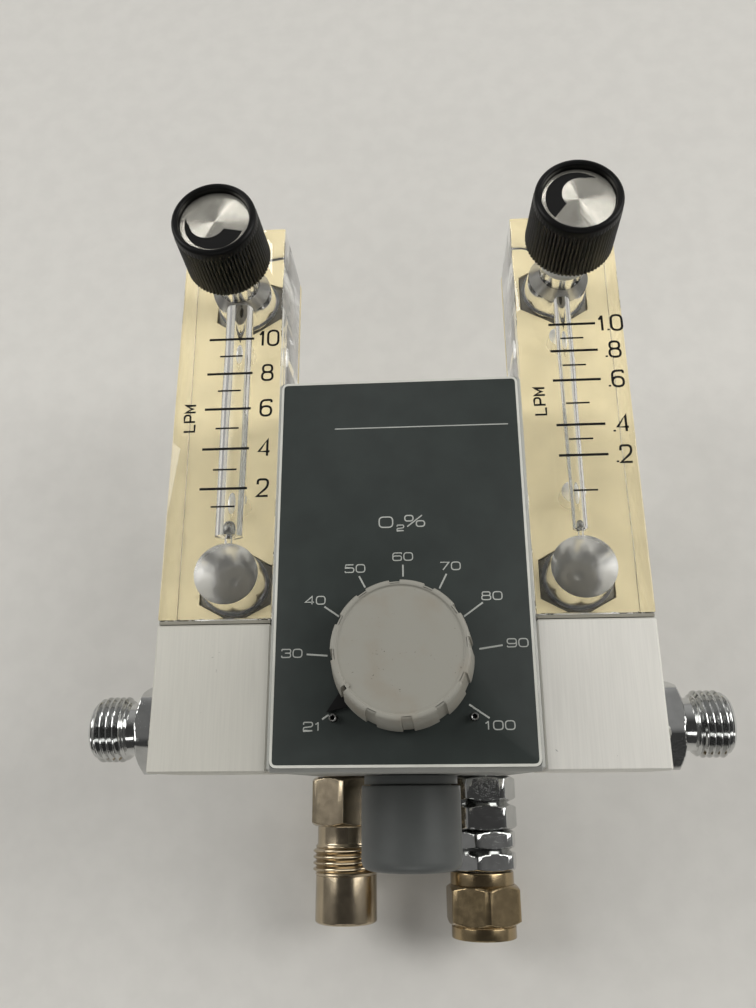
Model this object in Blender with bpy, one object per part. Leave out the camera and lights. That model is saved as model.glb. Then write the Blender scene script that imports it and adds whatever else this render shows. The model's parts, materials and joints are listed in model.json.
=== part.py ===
"""Air and oxygen gas mixer with two clear block flowmeters, lying on its back.

Metres. +X is right, +Y runs towards the tops of the flow tubes and +Z out of the front panel.
The origin is the centre of the housing's rear face, which the mixer rests on.
"""

import math

import bmesh
import bpy
from mathutils import Matrix, Vector

# Fits
SEAT_GAP = 0.0002
RUN_GAP = 0.0003
CUT_PAST = 0.001

# Housing and panel
HOUSING_WIDTH = 0.05715
HOUSING_HEIGHT = 0.0889
HOUSING_DEPTH = 0.0939
HOUSING_EDGE = 0.0008
PANEL_INSET = 0.0008
PANEL_THICKNESS = 0.0008
PANEL_CORNER = 0.0013
MOUNT_HOLE_RADIUS = 0.0021
MOUNT_HOLE_DEPTH = 0.0058
MOUNT_HOLE_INSET = 0.0075

# Dial, pointer and stop pins
DIAL_RISE = 0.0217
DIAL_BASE_RADIUS = 0.0150
DIAL_TOP_RADIUS = 0.0138
DIAL_HEIGHT = 0.0130
DIAL_EDGE = 0.0006
DIAL_GROOVES = 12
DIAL_GROOVE_WIDTH = 0.0020
DIAL_GROOVE_DEPTH = 0.0005
DIAL_SLIT_WIDTH = 0.0008
DIAL_SLIT_DEPTH = 0.0019
DIAL_REST_ANGLE = math.radians(-145.7)
DIAL_SWEEP = math.radians(248.7)
DIAL_SOCKET_DEPTH = 0.0085
POINTER_THICKNESS = 0.0008
POINTER_HUB_RADIUS = 0.0115
POINTER_REACH = 0.0043
POINTER_HALF_WIDTH = 0.0032
STOP_PIN_RADIUS = 0.0008
STOP_PIN_WALL = 0.0003
STOP_PIN_HEIGHT = 0.0016
STOP_PIN_DEPTH = 0.0040
STOP_PIN_CLEARANCE = 0.0039
STOP_PIN_LAG = math.radians(5.2)

# Mixing valve behind the dial
MIXER_BORE_RADIUS = 0.0080
MIXER_BORE_DEPTH = 0.0500
BONNET_FLANGE_RADIUS = 0.0112
BONNET_FLANGE_THICKNESS = 0.0030
BONNET_LENGTH = 0.0140
SPINDLE_RADIUS = 0.003175
SPINDLE_COLLAR_RADIUS = 0.0060
SPINDLE_COLLAR_LENGTH = 0.0025
SPINDLE_TIP_RADIUS = 0.0022
SPINDLE_TIP_LENGTH = 0.0090
SPOOL_RADIUS = 0.0046
SPOOL_LENGTH = 0.0250
SLEEVE_LENGTH = 0.0200

# Balance valve, entered from the top face
BALANCE_CAP_RADIUS = 0.0198
BALANCE_CAP_THICKNESS = 0.0066
BALANCE_CAP_RECESS = 0.0020
BALANCE_CHAMBER_RADIUS = 0.0160
BALANCE_CHAMBER_DEPTH = 0.0055
BALANCE_HEAD_RADIUS = 0.0090
BALANCE_HEAD_THICKNESS = 0.0015
BALANCE_STEM_RADIUS = 0.0046
BALANCE_STEM_LENGTH = 0.0190
BALANCE_TRAVEL = 0.0010
DIAPHRAGM_THICKNESS = 0.0008
SPANNER_HOLE_RADIUS = 0.0020
SPANNER_HOLE_DEPTH = 0.0035
SPANNER_HOLE_SPREAD = 0.0130

# Side blocks, flowmeter blocks and their plates
BLOCK_SETBACK = 0.0025
MANIFOLD_WIDTH = 0.0254
MANIFOLD_HEIGHT = 0.0311
MANIFOLD_DEPTH = 0.0254
MANIFOLD_EDGE = 0.0004
GASKET_THICKNESS = 0.0007
GASKET_INSET = 0.0003
FLOWMETER_DEPTH = 0.0254
FLOWMETER_LENGTH = 0.1020
FLOWMETER_EDGE = 0.0003
SCALE_PLATE_THICKNESS = 0.0020
BAR_WIDTH = 0.0160
BAR_THICKNESS = 0.0080
BAR_SHORTFALL = 0.0020
MANIFOLD_SCREW_RADIUS = 0.0020
MANIFOLD_SCREW_HEAD_RADIUS = 0.0035
MANIFOLD_SCREW_HEAD_LENGTH = 0.0040
MANIFOLD_SCREW_SOCKET = 0.0030
MANIFOLD_SCREW_BITE = 0.0080
MANIFOLD_SCREW_SINK = 0.0050
MANIFOLD_SCREW_INSET = 0.0060

# Ports, bores and flow tubes in the clear blocks
PORT_OFFSET = 0.0127
PORT_PITCH = 0.0762
PORT_BORE_RADIUS = 0.00725
PORT_BORE_DEPTH = 0.0140
DRILL_POINT = math.radians(59)
PORT_FLATS = 0.015875
PORT_SHANK_RADIUS = 0.0058
PORT_SHANK_LENGTH = 0.0040
PORT_TAIL_RADIUS = 0.0048
PORT_TAIL_LENGTH = 0.0060
PORT_PASSAGE_RADIUS = 0.0016
PORT_SEAL_SECTION = 0.00045
FIXING_HOLE_RADIUS = 0.00275
FIXING_HOLE_DEPTH = 0.0070
FIXING_HOLE_LOWER = 0.0196
FIXING_HOLE_UPPER = 0.0152
LEFT_TUBE_RADIUS = 0.0029
RIGHT_TUBE_RADIUS = 0.0018
TUBE_TAPER = 0.0003
LEFT_FLOAT_RADIUS = 0.0023
RIGHT_FLOAT_RADIUS = 0.0013
FLOAT_SEAT_RADIUS = 0.0009
FLOAT_SEAT_RISE = 0.0012

# Needle valves and their knobs
VALVE_BORE_RADIUS = 0.00535
VALVE_BORE_DEPTH = 0.0085
BUSHING_FLANGE_RADIUS = 0.0062
BUSHING_FLANGE_THICKNESS = 0.0014
BUSHING_SHANK_LENGTH = 0.0075
BUSHING_BOSS_RADIUS = 0.0045
BUSHING_BOSS_LENGTH = 0.0036
STEM_RADIUS = 0.0028
NEEDLE_RADIUS = 0.0011
NEEDLE_LENGTH = 0.0080
NEEDLE_TIP = 0.0016
KNOB_BASE_RADIUS = 0.0105
KNOB_TOP_RADIUS = 0.0101
KNOB_HEIGHT = 0.0162
KNOB_CLEARANCE = 0.0040
KNOB_RIBS = 70
KNOB_RIB_DEPTH = 0.00035
KNOB_RIM_HEIGHT = 0.0026
KNOB_EDGE = 0.0007
KNOB_SKIRT_BORE = 0.0072
KNOB_SKIRT_DEPTH = 0.0050
KNOB_SOCKET_DEPTH = 0.0080
KNOB_DISC_RADIUS = 0.00815
KNOB_DISC_THICKNESS = 0.0005
KNOB_DISC_SINK = 0.0016
LEFT_VALVE_LIFT = 0.0020
RIGHT_VALVE_LIFT = 0.0041

# Side outlets
OUTLET_RISE = 0.0098
OUTLET_FLATS = 0.01746
OUTLET_HEX_LENGTH = 0.0047
OUTLET_NECK_RADIUS = 0.00565
OUTLET_NECK_LENGTH = 0.0032
OUTLET_THREAD_RADIUS = 0.00714
OUTLET_THREAD_PITCH = 0.00141
OUTLET_THREAD_TURNS = 5
OUTLET_TIP_LENGTH = 0.0008
OUTLET_STUB_RADIUS = 0.0060
OUTLET_STUB_LENGTH = 0.0090
OUTLET_BORE_RADIUS = 0.0030
OUTLET_MOUTH_RADIUS = 0.0046
OUTLET_MOUTH_DEPTH = 0.0085

# Gas inlets
INLET_RISE = 0.0144
INLET_STUB_RADIUS = 0.0069
INLET_STUB_LENGTH = 0.0100
INLET_BORE_RADIUS = 0.0045
AIR_INLET_INSET = 0.008975
AIR_FLATS = 0.01905
AIR_HEX_LENGTH = 0.0133
AIR_NECK_RADIUS = 0.0083
AIR_NECK_LENGTH = 0.0051
AIR_THREAD_RADIUS = 0.009525
AIR_THREAD_PITCH = 0.00159
AIR_THREAD_TURNS = 5
AIR_NOSE_RADIUS = 0.0087
AIR_NOSE_LENGTH = 0.0123
AIR_MOUTH_RADIUS = 0.0064
AIR_MOUTH_DEPTH = 0.0110
OXYGEN_INLET_INSET = 0.009775
OXYGEN_FLATS = 0.01905
OXYGEN_TURN = math.radians(80)
OXYGEN_HEX_LENGTH = 0.0144
OXYGEN_GROOVE_DEPTH = 0.0016
OXYGEN_GROOVE_WIDTH = 0.0012
ADAPTER_FLATS = 0.0190
ADAPTER_HEX_LENGTH = 0.0104
ADAPTER_TURN = math.radians(69)
ADAPTER_STUB_RADIUS = 0.0042
ADAPTER_STUB_LENGTH = 0.0060
NIPPLE_RADIUS = 0.0046
NIPPLE_FLANGE_RADIUS = 0.0062
NIPPLE_FLANGE_LENGTH = 0.0020
NIPPLE_LENGTH = 0.0105
NIPPLE_BORE_RADIUS = 0.0022
NUT_FLATS = 0.01905
NUT_TURN = math.radians(52)
NUT_COLLAR_RADIUS = 0.0092
NUT_COLLAR_LENGTH = 0.0034
NUT_HEX_LENGTH = 0.0102
NUT_RING_RADIUS = 0.00925
NUT_RING_LENGTH = 0.0033
NUT_NECK_LENGTH = 0.0031
NUT_BORE_RADIUS = 0.0072
HEX_CHAMFER = 0.0009

# Inlet check valves and filters
CHECK_CHAMBER_RADIUS = 0.0060
CHECK_CHAMBER_DEPTH = 0.0220
CHECK_POPPET_RADIUS = 0.0052
CHECK_POPPET_THICKNESS = 0.0025
CHECK_STEM_RADIUS = 0.0018
CHECK_STEM_LENGTH = 0.0080
CHECK_SPRING_RADIUS = 0.0040
CHECK_SPRING_WIRE = 0.00035
CHECK_SPRING_TURNS = 6
FILTER_THICKNESS = 0.0030
FILTER_DEPTH = 0.0030

# Alarm whistle below the housing
ALARM_COLLAR_RADIUS = 0.0119
ALARM_COLLAR_LENGTH = 0.0022
ALARM_STUB_RADIUS = 0.0074
ALARM_STUB_LENGTH = 0.0090
ALARM_SPIGOT_LENGTH = 0.0040
ALARM_BORE_RADIUS = 0.0045
ALARM_CUP_RADIUS = 0.0126
ALARM_CUP_LENGTH = 0.0200
ALARM_CUP_WALL = 0.0021
ALARM_CUP_CORNER = 0.0030
ALARM_POPPET_RADIUS = 0.0041
ALARM_POPPET_LENGTH = 0.0060
ALARM_TRAVEL = 0.0020
ALARM_SPRING_RADIUS = 0.0032
ALARM_SPRING_WIRE = 0.00035
ALARM_SPRING_TURNS = 7

# Facets
FINE_SIDES = 36
SIDES = 24
SMALL_SIDES = 12
SPRING_POINTS = 8
SEAL_CORNERS = 5
SMOOTH_ANGLE = math.radians(35)

# Places worked out from the sizes above
HOUSING_SIDE = HOUSING_WIDTH / 2
HOUSING_TOP = HOUSING_HEIGHT / 2
HOUSING_BOTTOM = -HOUSING_HEIGHT / 2
PANEL_FACE = HOUSING_DEPTH + SEAT_GAP + PANEL_THICKNESS
DIAL_CENTRE = HOUSING_BOTTOM + DIAL_RISE + PANEL_INSET + SEAT_GAP
BLOCK_FRONT = PANEL_FACE - BLOCK_SETBACK
BLOCK_INNER = HOUSING_SIDE + SEAT_GAP
BLOCK_MIDDLE = BLOCK_INNER + MANIFOLD_WIDTH / 2
BLOCK_OUTER = BLOCK_INNER + MANIFOLD_WIDTH
MANIFOLD_TOP = HOUSING_BOTTOM + MANIFOLD_HEIGHT
FLOWMETER_BOTTOM = MANIFOLD_TOP + GASKET_THICKNESS + 2 * SEAT_GAP
FLOWMETER_TOP = FLOWMETER_BOTTOM + FLOWMETER_LENGTH
FLOWMETER_REAR = BLOCK_FRONT - FLOWMETER_DEPTH
SCALE_PLATE_FRONT = FLOWMETER_REAR - SEAT_GAP
BAR_FRONT = SCALE_PLATE_FRONT - SCALE_PLATE_THICKNESS - SEAT_GAP
LOWER_PORT = FLOWMETER_BOTTOM + PORT_OFFSET
UPPER_PORT = LOWER_PORT + PORT_PITCH
TUBE_DEPTH = (BLOCK_FRONT + FLOWMETER_REAR) / 2
FLOAT_SEAT = LOWER_PORT + PORT_BORE_RADIUS + FLOAT_SEAT_RISE
OUTLET_CENTRE = HOUSING_BOTTOM + OUTLET_RISE
OUTLET_DEPTH = BLOCK_FRONT - MANIFOLD_DEPTH / 2
INLET_DEPTH = INLET_RISE
ALARM_DEPTH = HOUSING_DEPTH / 2
FITTING_START = HOUSING_BOTTOM - SEAT_GAP
BALANCE_DEPTH = HOUSING_DEPTH / 2
AIR_INLET_SIDE = -HOUSING_SIDE + AIR_INLET_INSET
OXYGEN_INLET_SIDE = HOUSING_SIDE - OXYGEN_INLET_INSET

# Colour, roughness and metallic value of each finish
FINISHES = {
    "grey_paint": ((0.28, 0.29, 0.28), 0.45, 0.2),
    "panel_print": ((0.055, 0.065, 0.065), 0.5, 0.0),
    "grey_plastic": ((0.31, 0.29, 0.26), 0.5, 0.0),
    "dark_plastic": ((0.065, 0.068, 0.066), 0.45, 0.0),
    "black_plastic": ((0.008, 0.008, 0.008), 0.35, 0.0),
    "aluminium": ((0.62, 0.62, 0.60), 0.35, 1.0),
    "spun_aluminium": ((0.72, 0.71, 0.69), 0.25, 1.0),
    "chrome": ((0.70, 0.71, 0.72), 0.1, 1.0),
    "nickel": ((0.45, 0.40, 0.32), 0.25, 1.0),
    "brass": ((0.60, 0.45, 0.20), 0.3, 1.0),
    "steel": ((0.50, 0.50, 0.50), 0.3, 1.0),
    "sintered_bronze": ((0.35, 0.24, 0.13), 0.8, 1.0),
    "clear_acrylic": ((0.90, 0.90, 0.86), 0.05, 0.0),
    "ivory_paint": ((0.80, 0.73, 0.50), 0.5, 0.0),
    "rubber": ((0.02, 0.02, 0.02), 0.7, 0.0),
    "white_nylon": ((0.75, 0.75, 0.72), 0.4, 0.0),
}

# Where each direction turns a piece that is built along +Z
TURNS = {
    "+Z": Matrix.Identity(4),
    "-Z": Matrix.Rotation(math.pi, 4, "X"),
    "+X": Matrix.Rotation(math.pi / 2, 4, "Y"),
    "-X": Matrix.Rotation(-math.pi / 2, 4, "Y"),
    "+Y": Matrix.Rotation(-math.pi / 2, 4, "X"),
    "-Y": Matrix.Rotation(math.pi / 2, 4, "X"),
}


def clear_scene():
    for obj in list(bpy.data.objects):
        bpy.data.objects.remove(obj, do_unlink=True)


def new_material(name, finish):
    colour, roughness, metallic = FINISHES[finish]
    made = bpy.data.materials.new(name)
    made.use_nodes = True
    shader = made.node_tree.nodes["Principled BSDF"]
    shader.inputs["Base Color"].default_value = (*colour, 1)
    shader.inputs["Roughness"].default_value = roughness
    shader.inputs["Metallic"].default_value = metallic
    made.diffuse_color = (*colour, 1)
    return made


def place(name, data, finish, at, direction="+Z"):
    """Puts mesh or curve data in the scene, with its origin at a point and its +Z along a direction."""
    obj = bpy.data.objects.new(name, data)
    obj.matrix_world = Matrix.Translation(Vector(at)) @ TURNS[direction]
    if finish:
        data.materials.append(new_material(name, finish))
    bpy.context.scene.collection.objects.link(obj)
    return obj


def place_mesh(name, bm, finish, at, direction="+Z"):
    bmesh.ops.recalc_face_normals(bm, faces=bm.faces)
    mesh = bpy.data.meshes.new(name)
    bm.to_mesh(mesh)
    bm.free()
    mesh.shade_smooth()
    mesh.set_sharp_from_angle(angle=SMOOTH_ANGLE)
    return place(name, mesh, finish, at, direction)


def box(name, low, high, finish=None, edge=0.0):
    """A block between two corners, with its edges broken by a chamfer."""
    bm = bmesh.new()
    low, high = Vector(low), Vector(high)
    bmesh.ops.create_cube(bm, size=1.0)
    bmesh.ops.scale(bm, vec=high - low, verts=bm.verts)
    if edge:
        bmesh.ops.bevel(bm, geom=bm.edges[:], offset=edge, segments=1, affect="EDGES")
    return place_mesh(name, bm, finish, (low + high) / 2)


def hexagon(across_flats, limit):
    """Radius by angle of a hexagon whose flats face angle 0, never past a limit."""

    def radius(angle):
        from_flat = (angle + math.pi / 6) % (math.pi / 3) - math.pi / 6
        return min(limit, across_flats / 2 / math.cos(from_flat))

    return radius


def ribbed(radius, depth, count):
    return lambda angle: radius - depth * (1 - math.cos(count * angle)) / 2


def turned(name, stations, finish, at, direction="+Z", sides=SIDES, turn=0.0):
    """A turned solid from (height, radius) stations. A radius of 0 is the axis, and a radius may depend on
    the angle. A profile with no end on the axis closes on itself, which leaves a bore right through."""
    bm = bmesh.new()
    rings = []
    for height, radius in stations:
        if radius == 0:
            rings.append([bm.verts.new((0, 0, height))])
            continue
        ring = []
        for side in range(sides):
            angle = 2 * math.pi * side / sides
            reach = radius(angle) if callable(radius) else radius
            corner = (reach * math.cos(angle + turn), reach * math.sin(angle + turn), height)
            ring.append(bm.verts.new(corner))
        rings.append(ring)
    pairs = list(zip(rings, rings[1:]))
    if len(rings[0]) > 1:
        pairs.append((rings[-1], rings[0]))
    for first, second in pairs:
        join_rings(bm, first, second)
    return place_mesh(name, bm, finish, at, direction)


def join_rings(bm, first, second):
    if len(first) == 1:
        first, second = second, first
    for side, corner in enumerate(first):
        following = (side + 1) % len(first)
        if len(second) == 1:
            bm.faces.new((corner, first[following], second[0]))
        else:
            bm.faces.new((corner, first[following], second[following], second[side]))


def rod(name, radius, start, end, at, direction, finish=None, sides=SIDES, end_radius=None):
    """A plain round bar, or a cone, between two heights along a direction."""
    far = radius if end_radius is None else end_radius
    stations = [(start, 0), (start, radius), (end, far), (end, 0)]
    return turned(name, stations, finish, at, direction, sides)


def thread(start, pitch, turns, crest, depth):
    """Stations of thread ridges from a start height."""
    stations = []
    for index in range(turns):
        base = start + index * pitch
        stations.append((base, crest - depth))
        stations.append((base + pitch / 2, crest))
    stations.append((start + turns * pitch, crest - depth))
    return stations


def hex_stations(start, length, flats, chamfer=HEX_CHAMFER):
    """Stations of a hexagon whose corners are chamfered at both ends."""
    corner = flats / 2 / math.cos(math.pi / 6)
    narrow = hexagon(flats, flats / 2)
    full = hexagon(flats, corner)
    return [
        (start, narrow),
        (start + chamfer / 2, full),
        (start + length - chamfer / 2, full),
        (start + length, narrow),
    ]


def combine(piece, helper, operation="DIFFERENCE"):
    """Cuts a helper from a piece, or joins it on. The helper stays as a guide that isn't part of the object."""
    modifier = piece.modifiers.new(helper.name, "BOOLEAN")
    modifier.operation = operation
    modifier.object = helper
    helper.hide_render = True
    helper.display_type = "WIRE"


def spring(name, radius, wire, turns, length, finish, at, direction):
    """A compression spring as one tube along a helix."""
    count = turns * SPRING_POINTS
    rise = length - 2 * wire
    points = []
    for index in range(count + 1):
        angle = 2 * math.pi * index / SPRING_POINTS
        height = wire + rise * index / count
        points.append(Vector((radius * math.cos(angle), radius * math.sin(angle), height)))
    curve = bpy.data.curves.new(name, "CURVE")
    curve.dimensions = "3D"
    curve.bevel_depth = wire
    curve.bevel_resolution = 0
    curve.use_fill_caps = True
    spline = curve.splines.new("POLY")
    spline.points.add(count)
    for spot, point in zip(spline.points, points):
        spot.co = (*point, 1)
    gap = min((points[i] - points[i + SPRING_POINTS]).length for i in range(count + 1 - SPRING_POINTS))
    print(f"{name}: least gap between turns {1000 * (gap - 2 * wire):.2f} mm")
    return place(name, curve, finish, at, direction)


def on_circle(centre, radius, angle, height):
    return (radius * math.cos(angle), centre + radius * math.sin(angle), height)


def make_housing():
    low = (-HOUSING_SIDE, HOUSING_BOTTOM, 0)
    high = (HOUSING_SIDE, HOUSING_TOP, HOUSING_DEPTH)
    housing = box("main_housing", low, high, "grey_paint", HOUSING_EDGE)
    front = (0, DIAL_CENTRE, HOUSING_DEPTH)
    bonnet_seat = BONNET_FLANGE_RADIUS + SEAT_GAP
    mixer_bore = [
        (-CUT_PAST, 0),
        (-CUT_PAST, bonnet_seat),
        (BONNET_FLANGE_THICKNESS + 2 * SEAT_GAP, bonnet_seat),
        (BONNET_FLANGE_THICKNESS + 2 * SEAT_GAP, MIXER_BORE_RADIUS),
        (MIXER_BORE_DEPTH, MIXER_BORE_RADIUS),
        (MIXER_BORE_DEPTH, 0),
    ]
    combine(housing, turned("cut_mixer_bore", mixer_bore, None, front, "-Z"))
    cap_seat = BALANCE_CAP_THICKNESS + DIAPHRAGM_THICKNESS + 3 * SEAT_GAP
    chamber_end = cap_seat + BALANCE_CHAMBER_DEPTH
    guide_end = chamber_end + BALANCE_STEM_LENGTH - BALANCE_CHAMBER_DEPTH + 4 * BALANCE_TRAVEL
    balance_bore = [
        (-CUT_PAST, 0),
        (-CUT_PAST, BALANCE_CAP_RADIUS + SEAT_GAP),
        (cap_seat, BALANCE_CAP_RADIUS + SEAT_GAP),
        (cap_seat, BALANCE_CHAMBER_RADIUS),
        (chamber_end, BALANCE_CHAMBER_RADIUS),
        (chamber_end, BALANCE_STEM_RADIUS + RUN_GAP),
        (guide_end, BALANCE_STEM_RADIUS + RUN_GAP),
        (guide_end, 0),
    ]
    top = (0, HOUSING_TOP, BALANCE_DEPTH)
    combine(housing, turned("cut_balance_bore", balance_bore, None, top, "-Y"))
    stub_end = INLET_STUB_LENGTH + SEAT_GAP
    inlet_bore = [
        (-CUT_PAST, 0),
        (-CUT_PAST, INLET_STUB_RADIUS + SEAT_GAP),
        (stub_end, INLET_STUB_RADIUS + SEAT_GAP),
        (stub_end, CHECK_CHAMBER_RADIUS),
        (stub_end + CHECK_CHAMBER_DEPTH, CHECK_CHAMBER_RADIUS),
        (stub_end + CHECK_CHAMBER_DEPTH, 0),
    ]
    for gas, offset in (("air", AIR_INLET_SIDE), ("oxygen", OXYGEN_INLET_SIDE)):
        at = (offset, HOUSING_BOTTOM, INLET_DEPTH)
        combine(housing, turned(f"cut_{gas}_inlet_bore", inlet_bore, None, at, "+Y"))
    alarm_at = (0, HOUSING_BOTTOM, ALARM_DEPTH)
    alarm_radius = ALARM_STUB_RADIUS + SEAT_GAP
    alarm_end = ALARM_STUB_LENGTH + ALARM_POPPET_LENGTH / 4
    combine(housing, rod("cut_alarm_bore", alarm_radius, -CUT_PAST, alarm_end, alarm_at, "+Y"))
    for side in (-1, 1):
        for end in (-1, 1):
            spot_x = side * (HOUSING_SIDE - MOUNT_HOLE_INSET)
            spot_y = end * (HOUSING_TOP - MOUNT_HOLE_INSET)
            name = f"cut_mount_hole_{side}_{end}"
            hole = rod(name, MOUNT_HOLE_RADIUS, -CUT_PAST, MOUNT_HOLE_DEPTH, (spot_x, spot_y, 0), "+Z",
                       sides=SMALL_SIDES)
            combine(housing, hole)
    for side in (-1, 1):
        for spot_y, spot_z in manifold_screw_spots():
            name = f"cut_screw_hole_{side}_{spot_z:.4f}"
            hole = rod(name, MANIFOLD_SCREW_RADIUS + SEAT_GAP, -CUT_PAST, MANIFOLD_SCREW_BITE + CUT_PAST,
                       (side * HOUSING_SIDE, spot_y, spot_z), "-X" if side > 0 else "+X", sides=SMALL_SIDES)
            combine(housing, hole)
    for side in (-1, 1):
        name = f"cut_stop_pin_hole_{side}"
        at = stop_pin_spot(side, HOUSING_DEPTH)
        combine(housing, rod(name, STOP_PIN_RADIUS + SEAT_GAP, -CUT_PAST, STOP_PIN_DEPTH + SEAT_GAP, at, "-Z",
                             sides=SMALL_SIDES))


def stop_pin_spot(side, height):
    """The pin behind the pointer at 21, or the one ahead of it at 100."""
    resting = DIAL_REST_ANGLE + STOP_PIN_LAG
    turned_up = DIAL_REST_ANGLE - DIAL_SWEEP - STOP_PIN_LAG
    angle = resting if side < 0 else turned_up
    return on_circle(DIAL_CENTRE, DIAL_BASE_RADIUS + STOP_PIN_CLEARANCE, angle, height)


def make_panel():
    half_width = HOUSING_SIDE - PANEL_INSET
    half_height = HOUSING_TOP - PANEL_INSET
    bm = bmesh.new()
    bmesh.ops.create_cube(bm, size=1.0)
    size = (2 * half_width, 2 * half_height, PANEL_THICKNESS)
    bmesh.ops.scale(bm, vec=size, verts=bm.verts)
    upright = [edge for edge in bm.edges if abs(edge.verts[0].co.z - edge.verts[1].co.z) > PANEL_THICKNESS / 2]
    bmesh.ops.bevel(bm, geom=upright, offset=PANEL_CORNER, segments=4, affect="EDGES", profile=0.5)
    middle = HOUSING_DEPTH + SEAT_GAP + PANEL_THICKNESS / 2
    panel = place_mesh("front_panel", bm, "panel_print", (0, 0, middle))
    hole = SPINDLE_RADIUS + 4 * RUN_GAP
    reach = PANEL_THICKNESS + CUT_PAST
    combine(panel, rod("cut_spindle_hole", hole, -reach, reach, (0, DIAL_CENTRE, middle), "+Z"))
    for side, word in ((-1, "left"), (1, "right")):
        at = stop_pin_spot(side, middle)
        radius = STOP_PIN_RADIUS + SEAT_GAP
        combine(panel, rod(f"cut_pin_hole_{word}", radius, -reach, reach, at, "+Z", sides=SMALL_SIDES))
        low, high = -STOP_PIN_DEPTH, PANEL_FACE - HOUSING_DEPTH + STOP_PIN_HEIGHT
        inner = STOP_PIN_RADIUS - STOP_PIN_WALL
        tube = [(low, STOP_PIN_RADIUS), (high, STOP_PIN_RADIUS), (high, inner), (low, inner)]
        turned(f"dial_stop_pin_{word}", tube, "steel", stop_pin_spot(side, HOUSING_DEPTH), sides=SMALL_SIDES)


def make_dial():
    pointer_base = PANEL_FACE + RUN_GAP
    dial_base = pointer_base + POINTER_THICKNESS + SEAT_GAP
    at = (0, DIAL_CENTRE, dial_base)
    socket = SPINDLE_RADIUS + SEAT_GAP
    outside = [
        (0, 0),
        (0, DIAL_BASE_RADIUS),
        (DIAL_EDGE, DIAL_BASE_RADIUS),
        (DIAL_HEIGHT - DIAL_EDGE, DIAL_TOP_RADIUS),
        (DIAL_HEIGHT, DIAL_TOP_RADIUS - DIAL_EDGE),
        (DIAL_HEIGHT, 0),
    ]
    dial = turned("oxygen_dial", outside, "grey_plastic", at, sides=2 * SIDES)
    combine(dial, rod("cut_dial_socket", socket, -CUT_PAST, DIAL_SOCKET_DEPTH, at, "+Z"))
    for index in range(DIAL_GROOVES):
        angle = DIAL_REST_ANGLE + 2 * math.pi * index / DIAL_GROOVES
        depth = DIAL_GROOVE_DEPTH if index else DIAL_SLIT_DEPTH
        width = DIAL_GROOVE_WIDTH if index else DIAL_SLIT_WIDTH
        groove_cutter(dial, index, angle, depth, width, dial_base)
    make_pointer(pointer_base)
    make_spindle(dial_base)


def groove_cutter(dial, index, angle, depth, width, dial_base):
    """A bar laid along the dial's sloping side, which leaves one shallow groove."""
    bm = bmesh.new()
    bmesh.ops.create_cube(bm, size=1.0)
    slope = math.atan2(DIAL_BASE_RADIUS - DIAL_TOP_RADIUS, DIAL_HEIGHT)
    bmesh.ops.scale(bm, vec=(2 * depth, width, 2 * DIAL_HEIGHT), verts=bm.verts)
    bmesh.ops.rotate(bm, cent=(0, 0, 0), matrix=Matrix.Rotation(-slope, 3, "Y"), verts=bm.verts)
    middle = (DIAL_BASE_RADIUS + DIAL_TOP_RADIUS) / 2
    bmesh.ops.translate(bm, vec=(middle, 0, DIAL_HEIGHT / 2), verts=bm.verts)
    bmesh.ops.rotate(bm, cent=(0, 0, 0), matrix=Matrix.Rotation(angle, 3, "Z"), verts=bm.verts)
    combine(dial, place_mesh(f"cut_dial_groove_{index}", bm, None, (0, DIAL_CENTRE, dial_base)))


def make_pointer(base):
    """A thin round plate with a triangular tongue that shows past the dial's skirt."""
    bm = bmesh.new()
    tip = DIAL_BASE_RADIUS + POINTER_REACH
    spread = math.asin(POINTER_HALF_WIDTH / POINTER_HUB_RADIUS)
    outline = [(tip, 0.0)]
    for step in range(SIDES + 1):
        angle = spread + (2 * math.pi - 2 * spread) * step / SIDES
        outline.append((POINTER_HUB_RADIUS * math.cos(angle), POINTER_HUB_RADIUS * math.sin(angle)))
    turn = Matrix.Rotation(DIAL_REST_ANGLE, 3, "Z")
    corners = [bm.verts.new(turn @ Vector((x, y, 0))) for x, y in outline]
    face = bm.faces.new(corners)
    raised = bmesh.ops.extrude_face_region(bm, geom=[face])
    lifted = [item for item in raised["geom"] if isinstance(item, bmesh.types.BMVert)]
    bmesh.ops.translate(bm, vec=(0, 0, POINTER_THICKNESS), verts=lifted)
    at = (0, DIAL_CENTRE, base)
    pointer = place_mesh("dial_pointer", bm, "black_plastic", at)
    hole = SPINDLE_RADIUS + SEAT_GAP
    combine(pointer, rod("cut_pointer_hole", hole, -CUT_PAST, POINTER_THICKNESS + CUT_PAST, at, "+Z"))


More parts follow.
